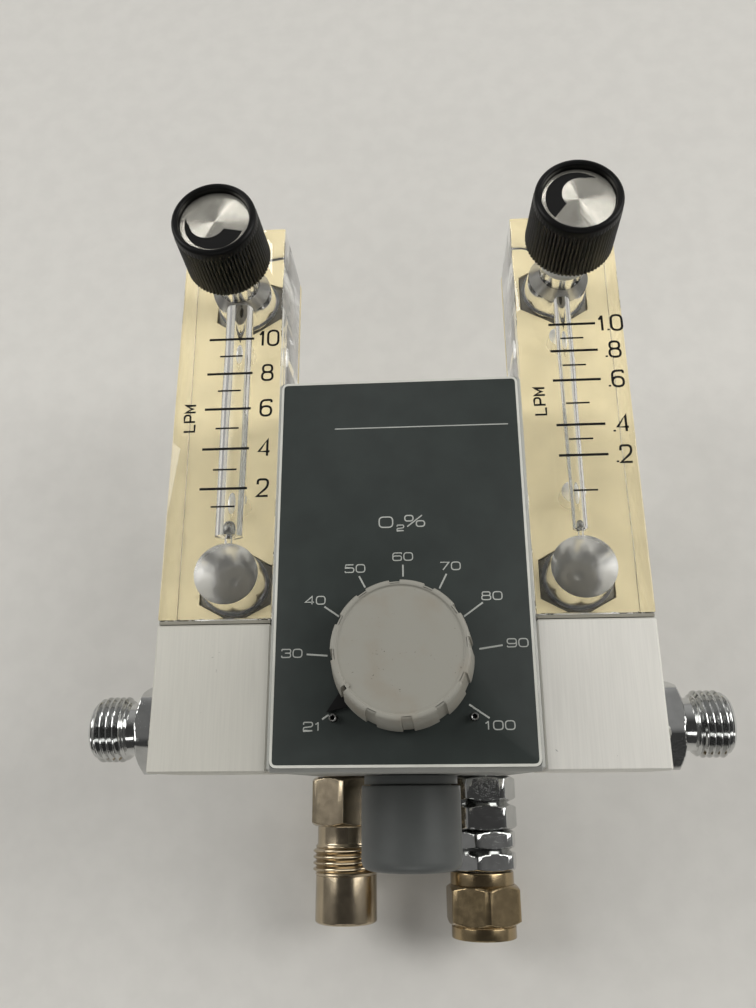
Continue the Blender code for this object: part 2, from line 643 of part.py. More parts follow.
def make_spindle(dial_base):
    flange_top = HOUSING_DEPTH - SEAT_GAP
    bonnet_end = flange_top - BONNET_FLANGE_THICKNESS - BONNET_LENGTH
    bore = SPINDLE_RADIUS + RUN_GAP
    barrel = MIXER_BORE_RADIUS - SEAT_GAP
    bonnet = [
        (0, bore),
        (0, BONNET_FLANGE_RADIUS),
        (BONNET_FLANGE_THICKNESS, BONNET_FLANGE_RADIUS),
        (BONNET_FLANGE_THICKNESS, barrel),
        (BONNET_FLANGE_THICKNESS + BONNET_LENGTH, barrel),
        (BONNET_FLANGE_THICKNESS + BONNET_LENGTH, bore),
    ]
    turned("mixer_bonnet", bonnet, "brass", (0, DIAL_CENTRE, flange_top), "-Z")
    collar_top = bonnet_end - RUN_GAP
    collar_low = collar_top - SPINDLE_COLLAR_LENGTH
    top = dial_base + DIAL_SOCKET_DEPTH - RUN_GAP
    spindle = [
        (-SPINDLE_TIP_LENGTH, 0),
        (-SPINDLE_TIP_LENGTH, SPINDLE_TIP_RADIUS),
        (0, SPINDLE_TIP_RADIUS),
        (0, SPINDLE_COLLAR_RADIUS),
        (SPINDLE_COLLAR_LENGTH, SPINDLE_COLLAR_RADIUS),
        (SPINDLE_COLLAR_LENGTH, SPINDLE_RADIUS),
        (top - collar_low, SPINDLE_RADIUS),
        (top - collar_low, 0),
    ]
    turned("mixer_spindle", spindle, "steel", (0, DIAL_CENTRE, collar_low), sides=SIDES)
    spool_top = collar_low - RUN_GAP
    socket = SPINDLE_TIP_RADIUS + RUN_GAP
    depth = SPINDLE_TIP_LENGTH + RUN_GAP
    spool = rod("mixer_spool", SPOOL_RADIUS, 0, SPOOL_LENGTH, (0, DIAL_CENTRE, spool_top), "-Z", "brass")
    combine(spool, rod("cut_spool_socket", socket, -CUT_PAST, depth, (0, DIAL_CENTRE, spool_top), "-Z"))
    floor = HOUSING_DEPTH - MIXER_BORE_DEPTH + SEAT_GAP
    inner = SPOOL_RADIUS + RUN_GAP
    sleeve = [(0, inner), (0, barrel), (SLEEVE_LENGTH, barrel), (SLEEVE_LENGTH, inner)]
    turned("mixer_sleeve", sleeve, "brass", (0, DIAL_CENTRE, floor))


def make_balance_valve():
    at = (0, HOUSING_TOP - SEAT_GAP, BALANCE_DEPTH)
    recess = BALANCE_CAP_THICKNESS - BALANCE_CAP_RECESS
    cap = [
        (0, 0),
        (0, BALANCE_CAP_RADIUS),
        (BALANCE_CAP_THICKNESS, BALANCE_CAP_RADIUS),
        (BALANCE_CAP_THICKNESS, BALANCE_CHAMBER_RADIUS),
        (recess, BALANCE_CHAMBER_RADIUS),
        (recess, 0),
    ]
    lid = turned("balance_cap", cap, "aluminium", at, "-Y")
    for side in (-1, 1):
        spot = (side * SPANNER_HOLE_SPREAD, HOUSING_TOP, BALANCE_DEPTH)
        name = f"cut_spanner_hole_{side}"
        combine(lid, rod(name, SPANNER_HOLE_RADIUS, -CUT_PAST, SPANNER_HOLE_DEPTH, spot, "-Y", sides=SMALL_SIDES))
    sheet = BALANCE_CAP_THICKNESS + SEAT_GAP
    rod("balance_diaphragm", BALANCE_CAP_RADIUS - SEAT_GAP, sheet, sheet + DIAPHRAGM_THICKNESS, at, "-Y", "rubber")
    head = sheet + DIAPHRAGM_THICKNESS + SEAT_GAP
    stem = head + BALANCE_HEAD_THICKNESS
    spool = [
        (head, 0),
        (head, BALANCE_HEAD_RADIUS),
        (stem, BALANCE_HEAD_RADIUS),
        (stem, BALANCE_STEM_RADIUS),
        (head + BALANCE_STEM_LENGTH, BALANCE_STEM_RADIUS),
        (head + BALANCE_STEM_LENGTH, 0),
    ]
    turned("balance_spool", spool, "brass", at, "-Y")


def manifold_screw_spots():
    """Heights along Y and Z of the two screws that hold a side block on, above its outlet."""
    high = MANIFOLD_TOP - MANIFOLD_SCREW_INSET
    near = BLOCK_FRONT - MANIFOLD_SCREW_INSET
    far = BLOCK_FRONT - MANIFOLD_DEPTH + MANIFOLD_SCREW_INSET
    return ((high, far), (high, near))


def make_side(word, side, tube_radius, float_radius, valve_lift):
    outward = "+X" if side > 0 else "-X"
    inward = "-X" if side > 0 else "+X"
    middle = side * BLOCK_MIDDLE
    make_manifold(word, side, outward, inward)
    gasket_low = MANIFOLD_TOP + SEAT_GAP
    half = MANIFOLD_WIDTH / 2 - GASKET_INSET
    box(f"{word}_gasket", (middle - half, gasket_low, FLOWMETER_REAR + GASKET_INSET),
        (middle + half, gasket_low + GASKET_THICKNESS, BLOCK_FRONT - GASKET_INSET), "rubber")
    make_flowmeter(word, middle, tube_radius, float_radius)
    make_needle_valve(word, middle, valve_lift)
    make_outlet(word, side, outward)


def make_manifold(word, side, outward, inward):
    """The side block, with the upright bar behind the flowmeter that carries its ports."""
    middle = side * BLOCK_MIDDLE
    half = MANIFOLD_WIDTH / 2
    rear = BLOCK_FRONT - MANIFOLD_DEPTH
    manifold = box(f"{word}_manifold", (middle - half, HOUSING_BOTTOM, rear),
                   (middle + half, MANIFOLD_TOP, BLOCK_FRONT), "aluminium", MANIFOLD_EDGE)
    bar_rear = BAR_FRONT - BAR_THICKNESS
    bar_low = HOUSING_BOTTOM + BAR_SHORTFALL
    bar = box(f"join_{word}_bar", (middle - BAR_WIDTH / 2, bar_low, bar_rear),
              (middle + BAR_WIDTH / 2, FLOWMETER_TOP - BAR_SHORTFALL, BAR_FRONT))
    foot = box(f"join_{word}_foot", (middle - BAR_WIDTH / 2 + BAR_SHORTFALL, bar_low + BAR_SHORTFALL,
                                     bar_rear + BAR_THICKNESS / 2),
               (middle + BAR_WIDTH / 2 - BAR_SHORTFALL, MANIFOLD_TOP - BAR_SHORTFALL, rear + BAR_SHORTFALL))
    combine(bar, foot, "UNION")
    combine(manifold, bar, "UNION")
    outlet_at = (side * BLOCK_OUTER, OUTLET_CENTRE, OUTLET_DEPTH)
    stub_end = OUTLET_STUB_LENGTH + SEAT_GAP
    stub_bore = OUTLET_STUB_RADIUS + SEAT_GAP
    bore = [
        (-CUT_PAST, 0),
        (-CUT_PAST, stub_bore),
        (stub_end, stub_bore),
        (stub_end, OUTLET_BORE_RADIUS),
        (MANIFOLD_WIDTH / 2, OUTLET_BORE_RADIUS),
        (MANIFOLD_WIDTH / 2, 0),
    ]
    combine(manifold, turned(f"cut_{word}_outlet_bore", bore, None, outlet_at, inward))
    for spot_y in (LOWER_PORT, UPPER_PORT):
        name = f"cut_{word}_bar_port_{spot_y:.4f}"
        combine(manifold, rod(name, PORT_TAIL_RADIUS + SEAT_GAP, -CUT_PAST, BAR_THICKNESS + CUT_PAST,
                              (middle, spot_y, bar_rear), "+Z"))
    screw_hole = [
        (-CUT_PAST, 0),
        (-CUT_PAST, MANIFOLD_SCREW_HEAD_RADIUS + SEAT_GAP),
        (MANIFOLD_SCREW_SINK, MANIFOLD_SCREW_HEAD_RADIUS + SEAT_GAP),
        (MANIFOLD_SCREW_SINK, MANIFOLD_SCREW_RADIUS + SEAT_GAP),
        (MANIFOLD_WIDTH + CUT_PAST, MANIFOLD_SCREW_RADIUS + SEAT_GAP),
        (MANIFOLD_WIDTH + CUT_PAST, 0),
    ]
    for index, (spot_y, spot_z) in enumerate(manifold_screw_spots()):
        at = (side * BLOCK_OUTER, spot_y, spot_z)
        combine(manifold, turned(f"cut_{word}_screw_{index}", screw_hole, None, at, inward, SMALL_SIDES))
        make_manifold_screw(f"{word}_manifold_screw_{index + 1}", at, inward)


def make_manifold_screw(name, at, inward):
    head_end = MANIFOLD_SCREW_SINK - SEAT_GAP
    head_start = head_end - MANIFOLD_SCREW_HEAD_LENGTH
    tip = MANIFOLD_WIDTH + MANIFOLD_SCREW_BITE
    socket_floor = head_start + MANIFOLD_SCREW_HEAD_LENGTH / 2
    socket = hexagon(MANIFOLD_SCREW_SOCKET, MANIFOLD_SCREW_SOCKET)
    profile = [
        (socket_floor, 0),
        (socket_floor, socket),
        (head_start, socket),
        (head_start, MANIFOLD_SCREW_HEAD_RADIUS),
        (head_end, MANIFOLD_SCREW_HEAD_RADIUS),
        (head_end, MANIFOLD_SCREW_RADIUS),
        (tip, MANIFOLD_SCREW_RADIUS),
        (tip, 0),
    ]
    turned(name, profile, "steel", at, inward, SMALL_SIDES)


def make_flowmeter(word, middle, tube_radius, float_radius):
    half = MANIFOLD_WIDTH / 2
    block = box(f"{word}_flowmeter_block", (middle - half, FLOWMETER_BOTTOM, FLOWMETER_REAR),
                (middle + half, FLOWMETER_TOP, BLOCK_FRONT), "clear_acrylic", FLOWMETER_EDGE)
    plate = box(f"{word}_scale_plate", (middle - half, FLOWMETER_BOTTOM, SCALE_PLATE_FRONT - SCALE_PLATE_THICKNESS),
                (middle + half, FLOWMETER_TOP, SCALE_PLATE_FRONT), "ivory_paint")
    cone = PORT_BORE_RADIUS / math.tan(DRILL_POINT)
    lower_bore = [
        (-CUT_PAST, 0),
        (-CUT_PAST, PORT_BORE_RADIUS),
        (PORT_BORE_DEPTH, PORT_BORE_RADIUS),
        (PORT_BORE_DEPTH + cone, 0),
    ]
    shoulder = FLOWMETER_DEPTH - VALVE_BORE_DEPTH
    upper_bore = [
        (-CUT_PAST, 0),
        (-CUT_PAST, PORT_BORE_RADIUS),
        (shoulder - cone, PORT_BORE_RADIUS),
        (shoulder, VALVE_BORE_RADIUS),
        (FLOWMETER_DEPTH + CUT_PAST, VALVE_BORE_RADIUS),
        (FLOWMETER_DEPTH + CUT_PAST, 0),
    ]
    lower_at = (middle, LOWER_PORT, FLOWMETER_REAR)
    upper_at = (middle, UPPER_PORT, FLOWMETER_REAR)
    combine(block, turned(f"cut_{word}_lower_bore", lower_bore, None, lower_at))
    combine(block, turned(f"cut_{word}_upper_bore", upper_bore, None, upper_at))
    narrow = tube_radius - TUBE_TAPER
    seat = min(FLOAT_SEAT_RADIUS, float_radius / 2)
    tube = [
        (LOWER_PORT, 0),
        (LOWER_PORT, seat),
        (FLOAT_SEAT, seat),
        (FLOAT_SEAT + float_radius / 2, narrow),
        (UPPER_PORT, tube_radius),
        (UPPER_PORT, 0),
    ]
    combine(block, turned(f"cut_{word}_tube", tube, None, (middle, 0, TUBE_DEPTH), "+Y", FINE_SIDES // 2))
    for name, spot_y in (("lower", LOWER_PORT + FIXING_HOLE_LOWER), ("upper", UPPER_PORT - FIXING_HOLE_UPPER)):
        point = FIXING_HOLE_RADIUS / math.tan(DRILL_POINT)
        hole = [
            (-CUT_PAST, 0),
            (-CUT_PAST, FIXING_HOLE_RADIUS),
            (FIXING_HOLE_DEPTH, FIXING_HOLE_RADIUS),
            (FIXING_HOLE_DEPTH + point, 0),
        ]
        at = (middle, spot_y, FLOWMETER_REAR)
        combine(block, turned(f"cut_{word}_{name}_fixing_hole", hole, None, at, sides=SMALL_SIDES))
    make_float(word, middle, float_radius)
    for name, spot_y in (("lower", LOWER_PORT), ("upper", UPPER_PORT)):
        clear = PORT_FLATS / 2 / math.cos(math.pi / 6) + RUN_GAP
        reach = SCALE_PLATE_THICKNESS + CUT_PAST
        at = (middle, spot_y, SCALE_PLATE_FRONT)
        hole = rod(f"cut_{word}_{name}_plate_hole", clear, -CUT_PAST, reach, at, "-Z")
        combine(plate, hole)
        make_port(f"{word}_{name}", middle, spot_y)


def make_port(name, middle, spot_y):
    """A hexagonal collar between block and bar, with a shank into each and a passage through."""
    collar = hexagon(PORT_FLATS, PORT_FLATS)
    tail = -SCALE_PLATE_THICKNESS - PORT_TAIL_LENGTH
    profile = [
        (PORT_SHANK_LENGTH, PORT_PASSAGE_RADIUS),
        (PORT_SHANK_LENGTH, PORT_SHANK_RADIUS),
        (0, PORT_SHANK_RADIUS),
        (0, collar),
        (-SCALE_PLATE_THICKNESS, collar),
        (-SCALE_PLATE_THICKNESS, PORT_TAIL_RADIUS),
        (tail, PORT_TAIL_RADIUS),
        (tail, PORT_PASSAGE_RADIUS),
    ]
    at = (middle, spot_y, SCALE_PLATE_FRONT)
    turned(f"{name}_port_fitting", profile, "nickel", at, sides=SMALL_SIDES)
    centre = (PORT_SHANK_RADIUS + PORT_BORE_RADIUS) / 2
    lift = SEAT_GAP + PORT_SEAL_SECTION
    ring = []
    for corner in range(SEAL_CORNERS):
        angle = -2 * math.pi * corner / SEAL_CORNERS
        ring.append((lift + PORT_SEAL_SECTION * math.sin(angle), centre + PORT_SEAL_SECTION * math.cos(angle)))
    turned(f"{name}_port_seal", ring, "rubber", at, sides=FINE_SIDES // 2)


def make_float(word, middle, radius):
    """The ball, resting on the seat at the foot of its tube."""
    bm = bmesh.new()
    bmesh.ops.create_uvsphere(bm, u_segments=SMALL_SIDES, v_segments=SMALL_SIDES // 2 + 2, radius=radius)
    rest = FLOAT_SEAT + radius + RUN_GAP
    place_mesh(f"{word}_float", bm, "steel", (middle, rest, TUBE_DEPTH))


def make_needle_valve(word, middle, lift):
    front = (middle, UPPER_PORT, BLOCK_FRONT + SEAT_GAP)
    bore = STEM_RADIUS + RUN_GAP
    shank = VALVE_BORE_RADIUS - SEAT_GAP
    boss_end = BUSHING_FLANGE_THICKNESS + BUSHING_BOSS_LENGTH
    bushing = [
        (boss_end, bore),
        (boss_end, BUSHING_BOSS_RADIUS),
        (BUSHING_FLANGE_THICKNESS, BUSHING_BOSS_RADIUS),
        (BUSHING_FLANGE_THICKNESS, BUSHING_FLANGE_RADIUS),
        (0, BUSHING_FLANGE_RADIUS),
        (0, shank),
        (-BUSHING_SHANK_LENGTH, shank),
        (-BUSHING_SHANK_LENGTH, bore),
    ]
    turned(f"{word}_valve_bushing", bushing, "white_nylon", front, sides=FINE_SIDES // 2)
    knob_base = BLOCK_FRONT + KNOB_CLEARANCE + lift
    at = (middle, UPPER_PORT, knob_base)
    make_knob(word, at)
    seat = FLOWMETER_REAR - SEAT_GAP + PORT_SHANK_LENGTH + RUN_GAP + lift
    tip = seat - knob_base
    top = KNOB_SKIRT_DEPTH + KNOB_SOCKET_DEPTH - RUN_GAP
    stem = [
        (tip, 0),
        (tip + NEEDLE_TIP / 4, NEEDLE_RADIUS / 2),
        (tip + NEEDLE_TIP, NEEDLE_RADIUS),
        (tip + NEEDLE_LENGTH, NEEDLE_RADIUS),
        (tip + NEEDLE_LENGTH + NEEDLE_TIP, STEM_RADIUS),
        (top, STEM_RADIUS),
        (top, 0),
    ]
    turned(f"{word}_needle_stem", stem, "steel", at, sides=FINE_SIDES // 2)


def make_knob(word, at):
    rim = KNOB_HEIGHT - KNOB_RIM_HEIGHT
    ribs_low = ribbed(KNOB_BASE_RADIUS, KNOB_RIB_DEPTH, KNOB_RIBS)
    ribs_high = ribbed(KNOB_TOP_RADIUS, KNOB_RIB_DEPTH, KNOB_RIBS)
    plain = KNOB_TOP_RADIUS - KNOB_RIB_DEPTH / 2
    outside = [
        (0, 0),
        (0, ribs_low),
        (rim, ribs_high),
        (rim + KNOB_EDGE, plain),
        (KNOB_HEIGHT - KNOB_EDGE, plain),
        (KNOB_HEIGHT, plain - KNOB_EDGE),
        (KNOB_HEIGHT, 0),
    ]
    knob = turned(f"{word}_flow_knob", outside, "black_plastic", at, sides=2 * KNOB_RIBS)
    socket = STEM_RADIUS + SEAT_GAP
    socket_end = KNOB_SKIRT_DEPTH + KNOB_SOCKET_DEPTH
    skirt = [
        (-CUT_PAST, 0),
        (-CUT_PAST, KNOB_SKIRT_BORE),
        (KNOB_SKIRT_DEPTH, KNOB_SKIRT_BORE),
        (KNOB_SKIRT_DEPTH, socket),
        (socket_end, socket),
        (socket_end, 0),
    ]
    combine(knob, turned(f"cut_{word}_knob_skirt", skirt, None, at))
    disc_floor = KNOB_HEIGHT - KNOB_DISC_SINK - KNOB_DISC_THICKNESS - SEAT_GAP
    recess = rod(f"cut_{word}_knob_recess", KNOB_DISC_RADIUS + SEAT_GAP, disc_floor, KNOB_HEIGHT + CUT_PAST, at,
                 "+Z", sides=FINE_SIDES)
    combine(knob, recess)
    low = disc_floor + SEAT_GAP
    rod(f"{word}_knob_disc", KNOB_DISC_RADIUS, low, low + KNOB_DISC_THICKNESS, at, "+Z", "spun_aluminium", FINE_SIDES)


def make_outlet(word, side, outward):
    at = (side * (BLOCK_OUTER + SEAT_GAP), OUTLET_CENTRE, OUTLET_DEPTH)
    depth = 0.6 * OUTLET_THREAD_PITCH
    thread_start = OUTLET_HEX_LENGTH + OUTLET_NECK_LENGTH
    thread_end = thread_start + OUTLET_THREAD_TURNS * OUTLET_THREAD_PITCH
    tip = thread_end + OUTLET_TIP_LENGTH
    root = OUTLET_THREAD_RADIUS - depth
    profile = [(-OUTLET_STUB_LENGTH, OUTLET_BORE_RADIUS), (-OUTLET_STUB_LENGTH, OUTLET_STUB_RADIUS)]
    profile.append((0, OUTLET_STUB_RADIUS))
    profile += hex_stations(0, OUTLET_HEX_LENGTH, OUTLET_FLATS)
    profile += [(OUTLET_HEX_LENGTH, OUTLET_NECK_RADIUS), (thread_start, OUTLET_NECK_RADIUS)]
    profile += thread(thread_start, OUTLET_THREAD_PITCH, OUTLET_THREAD_TURNS, OUTLET_THREAD_RADIUS, depth)
    profile += [(tip, root), (tip, OUTLET_MOUTH_RADIUS)]
    profile += [(tip - OUTLET_MOUTH_DEPTH, OUTLET_MOUTH_RADIUS), (tip - OUTLET_MOUTH_DEPTH, OUTLET_BORE_RADIUS)]
    turned(f"{word}_outlet", profile, "chrome", at, outward)


def make_inlets():
    air_at = (AIR_INLET_SIDE, FITTING_START, INLET_DEPTH)
    oxygen_at = (OXYGEN_INLET_SIDE, FITTING_START, INLET_DEPTH)
    make_air_inlet(air_at)
    make_oxygen_inlet(oxygen_at)
    for gas, at in (("air", air_at), ("oxygen", oxygen_at)):
        radius = INLET_BORE_RADIUS - SEAT_GAP
        rod(f"{gas}_filter", radius, FILTER_DEPTH, FILTER_DEPTH + FILTER_THICKNESS, at, "+Y", "sintered_bronze",
            SIDES)
        seat = INLET_STUB_LENGTH + RUN_GAP
        back = seat + CHECK_POPPET_THICKNESS
        poppet = [
            (seat, 0),
            (seat, CHECK_POPPET_RADIUS),
            (back, CHECK_POPPET_RADIUS),
            (back, CHECK_STEM_RADIUS),
            (back + CHECK_STEM_LENGTH, CHECK_STEM_RADIUS),
            (back + CHECK_STEM_LENGTH, 0),
        ]
        turned(f"{gas}_check_poppet", poppet, "brass", at, "+Y", SMALL_SIDES)
        spring_start = back + RUN_GAP
        end = INLET_STUB_LENGTH + SEAT_GAP + CHECK_CHAMBER_DEPTH
        spring_at = (at[0], at[1] + spring_start, at[2])
        spring(f"{gas}_check_spring", CHECK_SPRING_RADIUS, CHECK_SPRING_WIRE, CHECK_SPRING_TURNS,
               end - spring_start, "steel", spring_at, "+Y")


def make_air_inlet(at):
    depth = 0.6 * AIR_THREAD_PITCH
    thread_start = AIR_HEX_LENGTH + AIR_NECK_LENGTH
    nose_start = thread_start + AIR_THREAD_TURNS * AIR_THREAD_PITCH
    nose_end = nose_start + AIR_NOSE_LENGTH
    profile = [(-INLET_STUB_LENGTH, INLET_BORE_RADIUS), (-INLET_STUB_LENGTH, INLET_STUB_RADIUS)]
    profile.append((0, INLET_STUB_RADIUS))
    profile += hex_stations(0, AIR_HEX_LENGTH, AIR_FLATS)
    profile += [(AIR_HEX_LENGTH, AIR_NECK_RADIUS), (thread_start, AIR_NECK_RADIUS)]
    profile += thread(thread_start, AIR_THREAD_PITCH, AIR_THREAD_TURNS, AIR_THREAD_RADIUS, depth)
    profile += [(nose_start, AIR_NOSE_RADIUS), (nose_end - HEX_CHAMFER / 2, AIR_NOSE_RADIUS)]
    profile += [(nose_end, AIR_NOSE_RADIUS - HEX_CHAMFER / 2), (nose_end, AIR_MOUTH_RADIUS)]
    profile += [(nose_end - AIR_MOUTH_DEPTH, AIR_MOUTH_RADIUS), (nose_end - AIR_MOUTH_DEPTH, INLET_BORE_RADIUS)]
    turned("air_inlet", profile, "nickel", at, "-Y", turn=0.0)


def grooved_hex(start, length, flats):
    """Stations of a hexagon with a round groove about its middle."""
    middle = start + length / 2
    half = OXYGEN_GROOVE_WIDTH / 2
    corner = flats / 2 / math.cos(math.pi / 6)
    narrow = hexagon(flats, flats / 2)
    full = hexagon(flats, corner)
    floor = flats / 2 - OXYGEN_GROOVE_DEPTH
    return [
        (start, narrow),
        (start + HEX_CHAMFER / 2, full),
        (middle - half - HEX_CHAMFER / 2, full),
        (middle - half, narrow),
        (middle, floor),
        (middle + half, narrow),
        (middle + half + HEX_CHAMFER / 2, full),
        (start + length - HEX_CHAMFER / 2, full),
        (start + length, narrow),
    ]


def make_oxygen_inlet(at):
    profile = [(-INLET_STUB_LENGTH, INLET_BORE_RADIUS), (-INLET_STUB_LENGTH, INLET_STUB_RADIUS)]
    profile.append((0, INLET_STUB_RADIUS))
    profile += grooved_hex(0, OXYGEN_HEX_LENGTH, OXYGEN_FLATS)
    profile.append((OXYGEN_HEX_LENGTH, INLET_BORE_RADIUS))
    turned("oxygen_inlet", profile, "chrome", at, "-Y", turn=OXYGEN_TURN)
    start = OXYGEN_HEX_LENGTH + SEAT_GAP
    end = start + ADAPTER_HEX_LENGTH
    flange_start = end + NUT_NECK_LENGTH + 2 * RUN_GAP
    flange_end = flange_start + NIPPLE_FLANGE_LENGTH
    nipple_end = end + NIPPLE_LENGTH
    profile = [(start - ADAPTER_STUB_LENGTH, NIPPLE_BORE_RADIUS), (start - ADAPTER_STUB_LENGTH, ADAPTER_STUB_RADIUS)]
    profile.append((start, ADAPTER_STUB_RADIUS))
    profile += grooved_hex(start, ADAPTER_HEX_LENGTH, ADAPTER_FLATS)
    profile += [(end, NIPPLE_RADIUS), (flange_start, NIPPLE_RADIUS), (flange_start, NIPPLE_FLANGE_RADIUS)]
    profile += [(flange_end, NIPPLE_FLANGE_RADIUS), (flange_end, NIPPLE_RADIUS), (nipple_end, NIPPLE_RADIUS)]
    profile.append((nipple_end, NIPPLE_BORE_RADIUS))
    turned("oxygen_adapter", profile, "chrome", at, "-Y", turn=ADAPTER_TURN)
    make_coupling_nut((at[0], at[1] - end - RUN_GAP, at[2]))


def make_coupling_nut(at):
    hex_end = NUT_COLLAR_LENGTH + NUT_HEX_LENGTH
    ring_end = hex_end + NUT_RING_LENGTH
    neck = NIPPLE_RADIUS + RUN_GAP
    profile = [(0, neck), (0, NUT_COLLAR_RADIUS - HEX_CHAMFER / 2), (HEX_CHAMFER / 2, NUT_COLLAR_RADIUS)]
    profile.append((NUT_COLLAR_LENGTH, NUT_COLLAR_RADIUS))
    profile += hex_stations(NUT_COLLAR_LENGTH, NUT_HEX_LENGTH, NUT_FLATS, 2 * HEX_CHAMFER)
    profile += [(hex_end, NUT_RING_RADIUS), (ring_end - HEX_CHAMFER / 2, NUT_RING_RADIUS)]
    profile += [(ring_end, NUT_RING_RADIUS - HEX_CHAMFER / 2), (ring_end, NUT_BORE_RADIUS)]
    profile += [(NUT_NECK_LENGTH, NUT_BORE_RADIUS), (NUT_NECK_LENGTH, neck)]
    turned("coupling_nut", profile, "nickel", at, "-Y", turn=NUT_TURN)


def make_alarm():
    at = (0, FITTING_START, ALARM_DEPTH)
    spigot = ALARM_CUP_RADIUS - ALARM_CUP_WALL - SEAT_GAP
    collar_end = ALARM_COLLAR_LENGTH
    collar = [
        (-ALARM_STUB_LENGTH, ALARM_BORE_RADIUS),
        (-ALARM_STUB_LENGTH, ALARM_STUB_RADIUS),
        (0, ALARM_STUB_RADIUS),
        (0, ALARM_COLLAR_RADIUS),
        (collar_end, ALARM_COLLAR_RADIUS),
        (collar_end, spigot),
        (collar_end + ALARM_SPIGOT_LENGTH, spigot),
        (collar_end + ALARM_SPIGOT_LENGTH, ALARM_BORE_RADIUS),
    ]
    turned("alarm_collar", collar, "dark_plastic", at, "-Y")
    rim = collar_end + SEAT_GAP
    floor = rim + ALARM_CUP_LENGTH
    inner_corner = ALARM_CUP_CORNER - ALARM_CUP_WALL
    inside = ALARM_CUP_RADIUS - ALARM_CUP_WALL
    cup = [(rim, ALARM_CUP_RADIUS)] + corner_arc(floor, ALARM_CUP_RADIUS, ALARM_CUP_CORNER)
    cup.append((floor, 0))
    hollow = [(rim - CUT_PAST, 0), (rim - CUT_PAST, inside)]
    hollow += corner_arc(floor - ALARM_CUP_WALL, inside, inner_corner)
    hollow.append((floor - ALARM_CUP_WALL, 0))
    shell = turned("alarm_cup", [(rim, 0)] + cup, "dark_plastic", at, "-Y")
    combine(shell, turned("cut_alarm_cup", hollow, None, at, "-Y"))
    start = -ALARM_STUB_LENGTH + ALARM_TRAVEL
    end = start + ALARM_POPPET_LENGTH
    rod("alarm_poppet", ALARM_POPPET_RADIUS, start, end, at, "-Y", "brass", SMALL_SIDES * 2)
    spring_start = end + RUN_GAP
    length = floor - ALARM_CUP_WALL - RUN_GAP - spring_start
    spring_at = (0, FITTING_START - spring_start, ALARM_DEPTH)
    spring("alarm_spring", ALARM_SPRING_RADIUS, ALARM_SPRING_WIRE, ALARM_SPRING_TURNS, length, "steel", spring_at,
           "-Y")


def corner_arc(floor, radius, corner, steps=3):
    """Stations of a rounded corner between a side and a floor."""
    stations = []
    for step in range(steps + 1):
        angle = math.pi / 2 * step / steps
        height = floor - corner + corner * math.sin(angle)
        stations.append((height, radius - corner + corner * math.cos(angle)))
    return stations


def main():
    clear_scene()
    make_housing()
    make_panel()
    make_dial()
    make_balance_valve()
    make_side("left", -1, LEFT_TUBE_RADIUS, LEFT_FLOAT_RADIUS, LEFT_VALVE_LIFT)
    make_side("right", 1, RIGHT_TUBE_RADIUS, RIGHT_FLOAT_RADIUS, RIGHT_VALVE_LIFT)
    make_inlets()
    make_alarm()


main()
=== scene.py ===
# %% [markdown]
# # An air and oxygen mixer with two flowmeters
# The mixer lies on its back and blends two gases. A dial on its dark panel sets the share of oxygen,
# and two clear blocks beside it show how much gas leaves. The solids come from a CAD model that is
# loaded first and never moved. This lesson puts finer pieces round that frame, gives each one a
# finish made from shader nodes, and lights it.

import json
import math

import bmesh
import bpy
from mathutils import Matrix, Vector


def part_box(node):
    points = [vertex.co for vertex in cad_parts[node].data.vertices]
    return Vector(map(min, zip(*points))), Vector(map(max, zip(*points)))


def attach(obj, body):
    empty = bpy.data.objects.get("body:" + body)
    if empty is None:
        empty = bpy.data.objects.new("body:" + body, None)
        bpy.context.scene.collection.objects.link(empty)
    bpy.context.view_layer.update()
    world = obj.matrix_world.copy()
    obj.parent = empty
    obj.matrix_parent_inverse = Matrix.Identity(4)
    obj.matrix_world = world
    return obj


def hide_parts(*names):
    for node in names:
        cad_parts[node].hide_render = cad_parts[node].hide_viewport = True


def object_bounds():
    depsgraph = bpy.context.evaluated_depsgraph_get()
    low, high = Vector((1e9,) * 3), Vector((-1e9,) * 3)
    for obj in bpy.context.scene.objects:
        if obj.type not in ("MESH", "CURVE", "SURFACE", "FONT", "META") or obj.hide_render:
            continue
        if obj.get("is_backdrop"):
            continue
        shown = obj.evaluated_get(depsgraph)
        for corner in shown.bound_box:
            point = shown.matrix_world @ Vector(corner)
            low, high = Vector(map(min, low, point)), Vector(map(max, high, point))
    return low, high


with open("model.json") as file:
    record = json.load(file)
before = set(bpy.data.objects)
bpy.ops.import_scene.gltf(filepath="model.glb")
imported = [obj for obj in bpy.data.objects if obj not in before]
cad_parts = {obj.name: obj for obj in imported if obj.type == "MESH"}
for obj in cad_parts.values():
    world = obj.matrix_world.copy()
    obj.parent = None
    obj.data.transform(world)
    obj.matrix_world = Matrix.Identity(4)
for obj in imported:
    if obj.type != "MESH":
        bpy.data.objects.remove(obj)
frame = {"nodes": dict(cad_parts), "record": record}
cad_low, cad_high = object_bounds()
body_of = {}
for body, members in frame["record"]["behaviour"]["bodies"].items():
    for member in members:
        body_of[member] = body

# %% [markdown]
# ## Shader maths in Python
# A finish is a small graph of nodes. Dragging wires is one way to make it, and one line of Python for
# each wire is another, but both are hard to read. Here a socket is wrapped in a class whose operators
# add Math nodes, so that `1 - stain * 0.3` is written as it is meant. One method makes every other
# kind of node.

# %% Values
MM = 0.001


